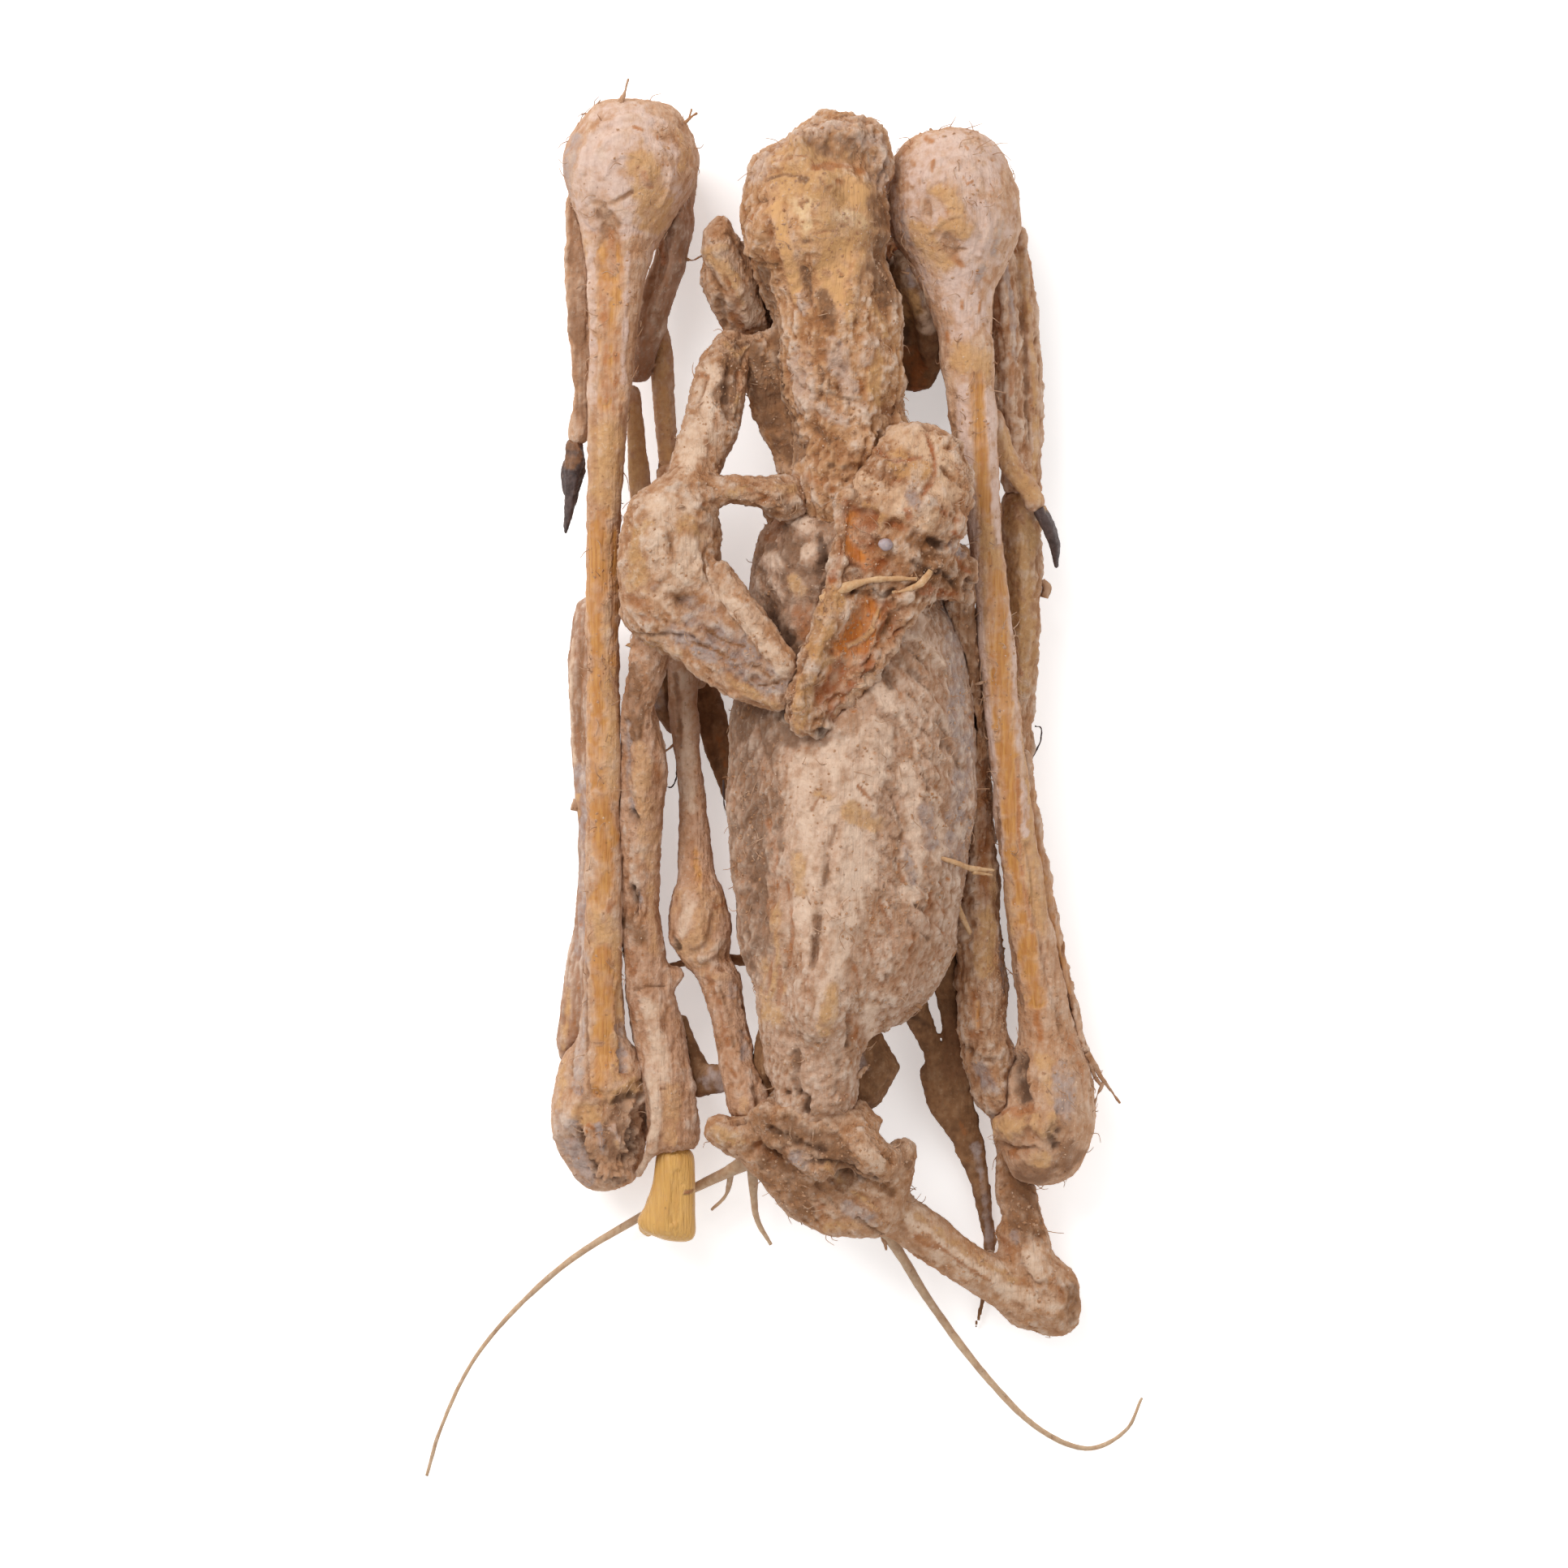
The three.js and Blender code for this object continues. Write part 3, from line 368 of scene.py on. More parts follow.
def newGroup(name, inputs, outputs):
    tree = bpy.data.node_groups.new(name, "ShaderNodeTree")
    for label, kind, value in inputs:
        socket = tree.interface.new_socket(name=label, in_out="INPUT", socket_type=kind)
        if value is not None:
            socket.default_value = value
    for label, kind in outputs:
        tree.interface.new_socket(name=label, in_out="OUTPUT", socket_type=kind)
    return tree, tree.nodes.new("NodeGroupInput").outputs, tree.nodes.new("NodeGroupOutput").inputs


def noiseNode(tree, place, scale, detail, rough=0.5):
    inputs = {"Vector": place, "Scale": scale, "Detail": detail, "Roughness": rough}
    return addNode(tree, "ShaderNodeTexNoise", inputs).outputs[0]


def calculate(tree, operation, first, second=0.0, clamp=False):
    node = addNode(tree, "ShaderNodeMath", operation=operation, use_clamp=clamp)
    feed(tree, node.inputs[0], first)
    feed(tree, node.inputs[1], second)
    return node.outputs[0]


def blendColour(tree, share, first, second):
    inputs = {0: share, 6: first, 7: second}
    return addNode(tree, "ShaderNodeMix", inputs, data_type="RGBA", clamp_factor=True).outputs[2]


def band(tree, value, low, high):  # 0 under low, 1 over high
    node = addNode(tree, "ShaderNodeMapRange", {0: value, 1: low, 2: high}, interpolation_type="SMOOTHSTEP")
    return node.outputs[0]


def makeStreakGroup():  # fine fibres along the bone: streak from 0 to 1
    tree, given, made = newGroup(
        "streaks",
        [
            ("Vector", "NodeSocketVector", None), ("Turn", "NodeSocketFloat", 0.0),
            ("Size", "NodeSocketFloat", 2000.0),
        ],
        [("Streak", "NodeSocketFloat")],
    )
    inputs = {"Vector": given["Vector"], "Angle": given["Turn"]}
    turned = addNode(tree, "ShaderNodeVectorRotate", inputs, rotation_type="Z_AXIS")
    inputs = {0: turned.outputs[0], 1: (1, 0.07, 1)}
    squeezed = addNode(tree, "ShaderNodeVectorMath", inputs, operation="MULTIPLY")
    grain = noiseNode(tree, squeezed.outputs[0], given["Size"], 4.0)
    tree.links.new(band(tree, grain, 0.32, 0.68), made["Streak"])
    return tree


def makeCrumbGroup():  # dry crumbs and salt: relief, pale crumbs and dark specks
    tree, given, made = newGroup(
        "crumbs",
        [
            ("Vector", "NodeSocketVector", None), ("Size", "NodeSocketFloat", 1500.0),
            ("Salt", "NodeSocketFloat", 0.5),
        ],
        [("Height", "NodeSocketFloat"), ("Pale", "NodeSocketFloat"), ("Speck", "NodeSocketFloat")],
    )
    scales = [calculate(tree, "MULTIPLY", given["Size"], n) for n in (0.62, 0.12, 0.8)]
    grainScale, patchScale, speckScale = scales
    coarse = noiseNode(tree, given["Vector"], given["Size"], 6.0, 0.7)
    grains = addNode(tree, "ShaderNodeTexVoronoi", {"Vector": given["Vector"], "Scale": grainScale})
    roundness = calculate(tree, "SUBTRACT", 1.0, grains.outputs["Distance"])
    rough, rounded = calculate(tree, "MULTIPLY", coarse, 1.1), calculate(tree, "MULTIPLY", roundness, 0.5)
    tree.links.new(calculate(tree, "ADD", rough, rounded), made["Height"])
    where = band(tree, noiseNode(tree, given["Vector"], patchScale, 3.0), 0.42, 0.62)
    pale = calculate(tree, "MULTIPLY", band(tree, coarse, 0.55, 0.72), where)
    tree.links.new(calculate(tree, "MULTIPLY", pale, given["Salt"]), made["Pale"])
    fine = noiseNode(tree, given["Vector"], speckScale, 2.0)
    tree.links.new(band(tree, fine, 0.68, 0.74), made["Speck"])
    return tree


def makeStainGroup():  # soft blotches between two colours, then rusty stains
    tree, given, made = newGroup(
        "stains",
        [
            ("Vector", "NodeSocketVector", None), ("First", "NodeSocketColor", None),
            ("Second", "NodeSocketColor", None), ("Stain", "NodeSocketColor", None),
            ("Size", "NodeSocketFloat", 200.0), ("Stained", "NodeSocketFloat", 0.4),
        ],
        [("Color", "NodeSocketColor")],
    )
    soft = noiseNode(tree, given["Vector"], given["Size"], 5.0, 0.6)
    mixed = blendColour(tree, band(tree, soft, 0.35, 0.65), given["First"], given["Second"])
    blots = noiseNode(tree, given["Vector"], calculate(tree, "MULTIPLY", given["Size"], 1.7), 5.0, 0.65)
    level = calculate(tree, "SUBTRACT", 0.78, calculate(tree, "MULTIPLY", given["Stained"], 0.34))
    over = calculate(tree, "SUBTRACT", blots, level)
    share = calculate(tree, "MULTIPLY", over, 9.0, clamp=True)
    tree.links.new(blendColour(tree, share, mixed, given["Stain"]), made["Color"])
    return tree


streakGroup = makeStreakGroup()
crumbGroup = makeCrumbGroup()
stainGroup = makeStainGroup()

remains = {  # what the dried remains share, colours as screen values; each material changes what differs
    "first": (208, 170, 140),
    "second": (192, 142, 102),
    "stain": (180, 114, 62),
    "stained": 0.45,
    "patches": 300.0,
    # low: painted shade in hollows; high: pale crust with painted highlight on crests
    "low": (156, 100, 58),
    "high": (226, 202, 182),
    "amber": (206, 158, 104),
    "bare": (192, 136, 72),
    "bareStreak": (174, 114, 56),
    "brown": (134, 92, 60),
    "cream": (220, 190, 164),
    # dark: the colour of the painted shade in creases, pits and recesses
    "dark": (76, 48, 30),
    "grey": (172, 154, 148),
    "rust": (162, 96, 46),
    "salt": (228, 208, 192),
    "speck": (104, 68, 42),
    "turn": 0.0,
    "crumb": 1500.0,
    "saltAmount": 0.35,
    "bump": 0.9,
    "fineShade": 0.28,
    "streakShade": 0.25,
    "rough": 0.92,
    "bareRough": 0.42,
}


def makeRemains(name, changes):
    look = {**remains, **changes}
    look = {key: rgb(*value) if isinstance(value, tuple) else value for key, value in look.items()}
    material = bpy.data.materials.new(name)
    material.use_nodes = True
    tree = material.node_tree
    tree.nodes.clear()
    spot = addNode(tree, "ShaderNodeTexCoord").outputs["Object"]
    allMasks = (*maskNames, "low", "high")
    mask = {m: addNode(tree, "ShaderNodeAttribute", attribute_name=m).outputs["Fac"] for m in allMasks}
    stains = addNode(tree, "ShaderNodeGroup", node_tree=stainGroup)
    stains.inputs["Size"].default_value = look["patches"]
    for key in ("First", "Second", "Stain", "Stained"):
        stains.inputs[key].default_value = look[key.lower()]
    crumbs = addNode(tree, "ShaderNodeGroup", node_tree=crumbGroup)
    crumbs.inputs["Size"].default_value = look["crumb"]
    crumbs.inputs["Salt"].default_value = look["saltAmount"]
    streaks = addNode(tree, "ShaderNodeGroup", node_tree=streakGroup)
    streaks.inputs["Turn"].default_value = np.radians(look["turn"])
    for group in (stains, crumbs, streaks):
        tree.links.new(spot, group.inputs["Vector"])
    streak = streaks.outputs["Streak"]
    edge = calculate(tree, "MULTIPLY", calculate(tree, "SUBTRACT", crumbs.outputs["Height"], 1.0), 0.5)

    def ragged(name, low, high, strength=1.0):  # a mask whose edge breaks up into crumbs
        share = band(tree, calculate(tree, "ADD", mask[name], edge), low, high)
        return calculate(tree, "MULTIPLY", share, strength)

    bareness = ragged("bare", 0.0, 1.0)
    covered = calculate(tree, "SUBTRACT", 1.0, bareness)
    grainy = calculate(tree, "SUBTRACT", covered, calculate(tree, "MULTIPLY", mask["cream"], 0.5), clamp=True)
    stain = calculate(tree, "ADD", mask["brown"], mask["rust"], clamp=True)
    unstained = calculate(tree, "SUBTRACT", 1.0, calculate(tree, "MULTIPLY", stain, 0.75))
    pale = calculate(tree, "MULTIPLY", crumbs.outputs["Pale"], covered)
    bone = blendColour(tree, streak, look["bare"], look["bareStreak"])
    # sunk grains take painted shade and raised grains a painted highlight
    sunk = calculate(tree, "MULTIPLY", band(tree, crumbs.outputs["Height"], 0.84, 0.55), grainy)
    raised = calculate(tree, "MULTIPLY", band(tree, crumbs.outputs["Height"], 0.9, 1.12), grainy)
    raised = calculate(tree, "MULTIPLY", raised, unstained)
    crestCrustAndHighlight = calculate(tree, "MULTIPLY", mask["high"], 0.7)
    colour = stains.outputs["Color"]
    stained = [("brown", 0.9, 0.85), ("rust", 1.0, 0.8), ("amber", 1.0, 0.75)]
    stained += [("cream", 1.05, 0.9), ("grey", 1.0, 0.8)]  # mask, where it is full, strength
    layers = [  # from the bottom up: share and colour
        (calculate(tree, "MULTIPLY", streak, look["streakShade"]), look["stain"]),
        # painted shade in the hollows
        (calculate(tree, "MULTIPLY", mask["low"], 0.75), look["low"]),
        *[(ragged(m, -0.05, full, strength), look[m]) for m, full, strength in stained],
        # pale crust and painted highlight on the crests
        (calculate(tree, "MULTIPLY", crestCrustAndHighlight, unstained), look["high"]),
        (bareness, bone),
        # fine painted shade in sunk grains and painted highlight on raised ones
        (calculate(tree, "MULTIPLY", sunk, look["fineShade"]), look["low"]),
        (calculate(tree, "MULTIPLY", raised, look["fineShade"]), look["high"]),
        (pale, look["salt"]),
        (calculate(tree, "MULTIPLY", crumbs.outputs["Speck"], 0.4), look["speck"]),
        # painted shade: creases, pits and recesses darkened last
        (calculate(tree, "MULTIPLY", band(tree, mask["dark"], 0.1, 1.0), 0.85), look["dark"]),
    ]
    for share, layer in layers:
        colour = blendColour(tree, share, colour, layer)
    skin = addNode(tree, "ShaderNodeBsdfPrincipled", {"Base Color": colour})
    shine = calculate(tree, "MULTIPLY", bareness, look["bareRough"] - look["rough"])
    tree.links.new(calculate(tree, "ADD", shine, look["rough"]), skin.inputs["Roughness"])
    skin.inputs["Specular IOR Level"].default_value = 0.35
    relieved = calculate(tree, "ADD", calculate(tree, "MULTIPLY", grainy, 0.8), 0.2)
    grain = calculate(tree, "MULTIPLY", crumbs.outputs["Height"], relieved)
    relief = calculate(tree, "ADD", grain, calculate(tree, "MULTIPLY", streak, 0.25))
    bump = addNode(tree, "ShaderNodeBump", {"Height": relief, "Strength": look["bump"], "Distance": 0.0007})
    tree.links.new(bump.outputs[0], skin.inputs["Normal"])
    tree.links.new(skin.outputs[0], addNode(tree, "ShaderNodeOutputMaterial").inputs[0])
    return material


materialLooks = {  # name, then what differs from the shared look
    "tissue": ("driedTissue", {}),
    "trunk": (
        "driedBack",
        {
            "first": (204, 170, 146),
            "second": (176, 138, 110),
            "stained": 0.5,
            "brown": (126, 92, 68),
            "cream": (220, 190, 166),
            "fineShade": 0.22,
            "bump": 0.75,
        },
    ),
    "wing": (
        "wingBone",
        {
            "first": (206, 170, 142),
            "second": (190, 146, 112),
            "cream": (212, 184, 170),
            "rust": (176, 108, 56),
            "brown": (138, 98, 70),
            "fineShade": 0.2,
            "bump": 0.65,
        },
    ),
    "head": (
        "headTissue",
        {
            "first": (206, 160, 122),
            "bare": (204, 156, 104),
            "bareStreak": (198, 149, 96),
            "bareRough": 0.6,
            "streakShade": 0.1,
            "second": (190, 140, 96),
            "stain": (178, 122, 76),
            "cream": (222, 188, 144),
            "grey": (204, 176, 158),
            "brown": (122, 86, 60),
            "bump": 0.75,
            "fineShade": 0.24,
        },
    ),
    "pale": (
        "paleTissue",
        {
            "first": (214, 170, 140),
            "second": (200, 150, 114),
            "amber": (216, 166, 118),
            "streakShade": 0.15,
        },
    ),
    "shoulder": (
        "shoulderTissue",
        {
            "bare": (190, 112, 34),
            "bareStreak": (168, 90, 24),
            "bareRough": 0.6,
            "rust": (164, 82, 26),
            "brown": (134, 86, 48),
            "cream": (214, 176, 142),
            "amber": (210, 156, 98),
        },
    ),
    "stub": ("bareBone", {"bare": (212, 164, 92), "bareStreak": (200, 150, 80), "bareRough": 0.3}),
    # tissue colour darkened with painted shade, for the flap behind the wrist
    "flap": ("flapPaintedShade", {"first": (170, 138, 118), "second": (146, 112, 88), "bump": 0.4}),
    "skin": (
        "wingSkin",
        {
            "first": (150, 108, 72),
            "second": (118, 82, 52),
            "stain": (128, 80, 42),
            "low": (96, 62, 36),
            "high": (168, 132, 100),
            "salt": (190, 164, 138),
            "saltAmount": 0.25,
            "bump": 0.4,
            "rough": 0.8,
        },
    ),
    "claw": (
        "clawHorn",
        {
            "first": (70, 54, 50),
            "second": (94, 76, 72),
            "stain": (36, 28, 26),
            "low": (28, 20, 18),
            "high": (120, 104, 98),
            "salt": (130, 116, 110),
            "saltAmount": 0.3,
            "speck": (20, 16, 16),
            "rough": 0.5,
            "bump": 0.3,
        },
    ),
    "strand": (
        "fingerEnd",
        {
            "first": (198, 168, 136),
            "second": (178, 150, 122),
            "stain": (160, 128, 98),
            "stained": 0.2,
            "saltAmount": 0.2,
            "rough": 0.6,
            "bump": 0.25,
        },
    ),
    "tendon": (
        "paleTendon",
        {"first": (206, 172, 132), "second": (190, 150, 108), "crumb": 2200.0, "bump": 0.3},
    ),
    "salt": (
        "saltFlake",
        {"first": (214, 188, 166), "second": (198, 166, 138), "stained": 0.1, "bump": 0.2, "rough": 0.8},
    ),
    "hair": ("shortHair", {"first": (190, 160, 134), "second": (150, 112, 82), "bump": 0.1, "rough": 0.6}),
    "pebble": (
        "palePebble",
        {
            "first": (176, 162, 165),
            "second": (152, 138, 142),
            "stain": (150, 128, 120),
            "stained": 0.1,
            "saltAmount": 0.0,
            "bump": 0.15,
            "rough": 0.5,
        },
    ),
}

print("materials")
materials = {key: makeRemains(name, changes) for key, (name, changes) in materialLooks.items()}

smooth = {
    "lumps": (0.12, 4.0),
    "creases": (0.0, 2.0),
    "crumbs": (0.02, 0.8),
    "fibres": (0.05, 0.7, 12.0),
    "pits": (0.0, 1.6),
}
boneLike = {
    "lumps": (0.3, 5.0),
    "creases": (0.12, 2.6),
    "crumbs": (0.1, 0.9),
    "fibres": (0.14, 0.8, 14.0),
    "pits": (0.1, 1.4),
}

# Strokes: kind, half width and lift, then points along it. Kinds without a colour only shape the surface.
# Dark strokes are painted shade in hollows and recesses.
ribs = []
ribCount, topRib, ribStep = 13, 29, 3.7
for i in range(ribCount):
    high = topRib - ribStep * i
    ribs.append(("rib", 0.8, 0.45, (14, high), (20, high - 4.5), (28, high - 12)))
    ribs.append(("rib", 0.7, 0.3, (2, high - 6), (-3, high - 11), (-7, high - 17)))
    ribs.append(("brown", 0.32, -0.2, (15.6, high - 3), (18.4, high - 5)))
    ribs.append(("brown", 0.4, -0.25, (20.4, high - 7), (23.6, high - 10)))
    ribs.append(("rust", 0.28, -0.2, (24.6, high - 7.4), (26.4, high - 9.6)))
    ribs.append(("rust", 0.35, -0.2, (-2, high - 13), (-4, high - 16.6)))
    ribs.append(("brown", 0.4, -0.2, (-4.6, high - 11), (-6.6, high - 15)))

pieces = {}
pieces["wingLeft"] = {
    "nodes": ["wrist_left", "forearm_left", "elbow_left"],
    "coarse": 1.0,
    "soften": 16,
    "material": "wing",
    "slot": "cream_fascia",
    "surface": boneLike,
    "strokes": [
        # wrist
        ("cream", 9, 0, (-26.5, 103), (-26.5, 98)),
        ("rim", 0.6, 0.4, (-31.5, 97), (-31, 103), (-27, 106.4), (-23, 105.6)),
        ("rim", 0.6, 0.4, (-33, 100), (-31.6, 106.4), (-27, 109), (-22, 108.6)),
        ("amber", 2.6, 0, (-23.5, 102.4), (-22, 97), (-21, 93.4)),
        ("amber", 1, 0, (-17.6, 107), (-16, 103.4), (-16.6, 100.8)),
        ("rust", 0.6, 0, (-23, 99.8), (-22.6, 98), (-21.4, 97.6)),
        ("rust", 0.35, 0, (-24.6, 107.6), (-23.2, 107)), ("rust", 0.3, 0, (-21, 107), (-20.6, 105.8)),
        ("rim", 0.5, 0.4, (-29.6, 99.4), (-28, 102.2), (-25, 103), (-22.6, 101.4), (-22.4, 98.6)),
        ("rim", 0.5, 0.4, (-20.6, 104.6), (-18.8, 101.6), (-19, 97.4), (-20.6, 94.6)),
        ("rim", 0.45, 0.4, (-34, 96.4), (-33, 93.6), (-31.4, 91.4)),
        # grey painted shade on the wrist's left edge
        ("grey", 1.1, 0, (-36, 97), (-35.4, 102), (-34, 106)),
        ("brown", 0.6, -0.35, (-31.6, 95.2), (-29, 95), (-26.8, 95.8), (-25, 97)),
        ("brown", 1.2, -0.3, (-30, 93.4), (-27.8, 91.8)), ("brown", 0.3, -0.3, (-30, 94.4), (-28, 93)),
        ("crust", 2.6, 0, (-30, 93), (-26.6, 91)), ("crust", 1.4, 0, (-25, 111), (-19, 108), (-16.2, 102)),
        # forearm, bare along the middle
        ("brown", 1.3, -0.3, (-29, 91), (-28.4, 87)), ("rust", 1.6, -0.4, (-28.4, 88.6), (-28.6, 83)),
        ("amber", 0.6, 0.2, (-32.4, 89), (-31.4, 80)),
        ("bare", 1.8, -0.2, (-28.6, 87), (-28.4, 77), (-28.8, 72), (-28.8, 62)),
        ("cream", 0.7, 0.2, (-31.6, 88), (-31.4, 76), (-31.4, 62)),
        ("cream", 0.7, 0.2, (-25.6, 87), (-26, 76), (-26.4, 66)),
        ("rust", 1, -0.1, (-28.6, 89.4), (-28.2, 84.4)),
        ("rust", 0.9, -0.1, (-29.6, 80), (-29.4, 70), (-29.2, 63)),
        ("rust", 0.6, -0.1, (-27.4, 74), (-27.6, 66), (-28, 60)),
        ("rust", 0.5, -0.1, (-27.2, 62.6), (-26.6, 61.4)), ("amber", 2.6, 0, (-29, 58), (-29.2, 46)),
        ("groove", 0.45, -0.4, (-31.4, 86), (-31, 72), (-31, 58), (-30.8, 46)),
        ("amber", 2.6, 0, (-29.6, 40), (-29.6, 0)),
        ("bare", 1.5, 0, (-30.4, 44), (-30.8, 34), (-30.9, 20), (-30.9, 8), (-30.4, -2)),
        ("bare", 0.8, 0, (-28, 42), (-27.8, 34), (-28, 20)),
        ("bare", 1.9, 0.1, (-30.2, -3), (-29.6, -10), (-29.6, -19)),
        ("rust", 0.9, 0, (-28.6, -19.6), (-29.6, -24), (-30.6, -27)),
        ("amber", 2.6, 0, (-29.6, -24), (-29, -36), (-28.8, -48)),
        ("rust", 0.7, 0, (-30.6, -34), (-30.6, -42)), ("rust", 0.8, 0, (-26.6, -27), (-26, -31)),
        ("bare", 1.5, 0, (-30, -28), (-29.6, -38), (-29.8, -50)),
        ("brown", 0.3, -0.3, (-31.4, -42.8), (-30, -42.8)),
        ("groove", 0.6, -0.7, (-27, -33), (-27, -40), (-26.4, -47)),
        ("grey", 0.8, -0.4, (-26.8, -40), (-26.2, -47)),
        ("grey", 1.2, -0.2, (-33.4, -28), (-33.8, -38), (-34, -50)),
        ("brown", 0.4, -0.3, (-32.6, -30), (-32.6, -40), (-32.2, -50)),
        ("brown", 0.4, -0.3, (-34.6, -34), (-35, -48)),
        ("amber", 0.8, 0, (-36, -38), (-36.6, -48), (-37, -54)),
        # elbow, a hollow with a raised rim
        ("amber", 1.4, 0.3, (-34, -54), (-29, -54.4), (-28, -51.6), (-24.6, -50)),
        ("groove", 4.4, -1.7, (-27.6, -55.6), (-27.8, -60.6)),
        ("brown", 2.6, -0.3, (-26.6, -54.6), (-27, -60.6)),
        ("dark", 0.9, -0.5, (-29, -52.4), (-26.4, -51.4), (-24, -51.4)),
        ("dark", 0.8, -0.7, (-24.4, -53), (-24, -59.4), (-25.6, -62.6)),
        ("grey", 1.1, 0.3, (-30.6, -57), (-29.6, -61)), ("cream", 0.8, 0.6, (-27.6, -56.4), (-26.4, -59.6)),
        ("crust", 4.4, 0, (-27.6, -54), (-28, -62)), ("amber", 0.7, 0.2, (-27, -59.4), (-26.4, -60.6)),
        ("rim", 0.8, 0.6, (-32.6, -55), (-33, -60), (-30.6, -64.6), (-27, -66), (-24, -64.6)),
        ("rust", 0.4, 0, (-32.6, -56.4), (-32, -56.8)),
        ("dark", 1.1, -1.2, (-34.8, -57.6), (-33.8, -61), (-32.2, -64)),
        ("grey", 0.7, 0.5, (-37, -54), (-37, -59), (-34.6, -64.4), (-31.4, -67)),
        ("dark", 0.6, -0.6, (-30.6, -65.6), (-28.6, -66), (-26.4, -65.4)),
        ("dark", 0.6, -0.5, (-28.6, -59.8), (-29.6, -60.4)),
        ("grey", 1.2, 0, (-36, -55), (-35.6, -60), (-32.6, -65.6)),
    ],
}
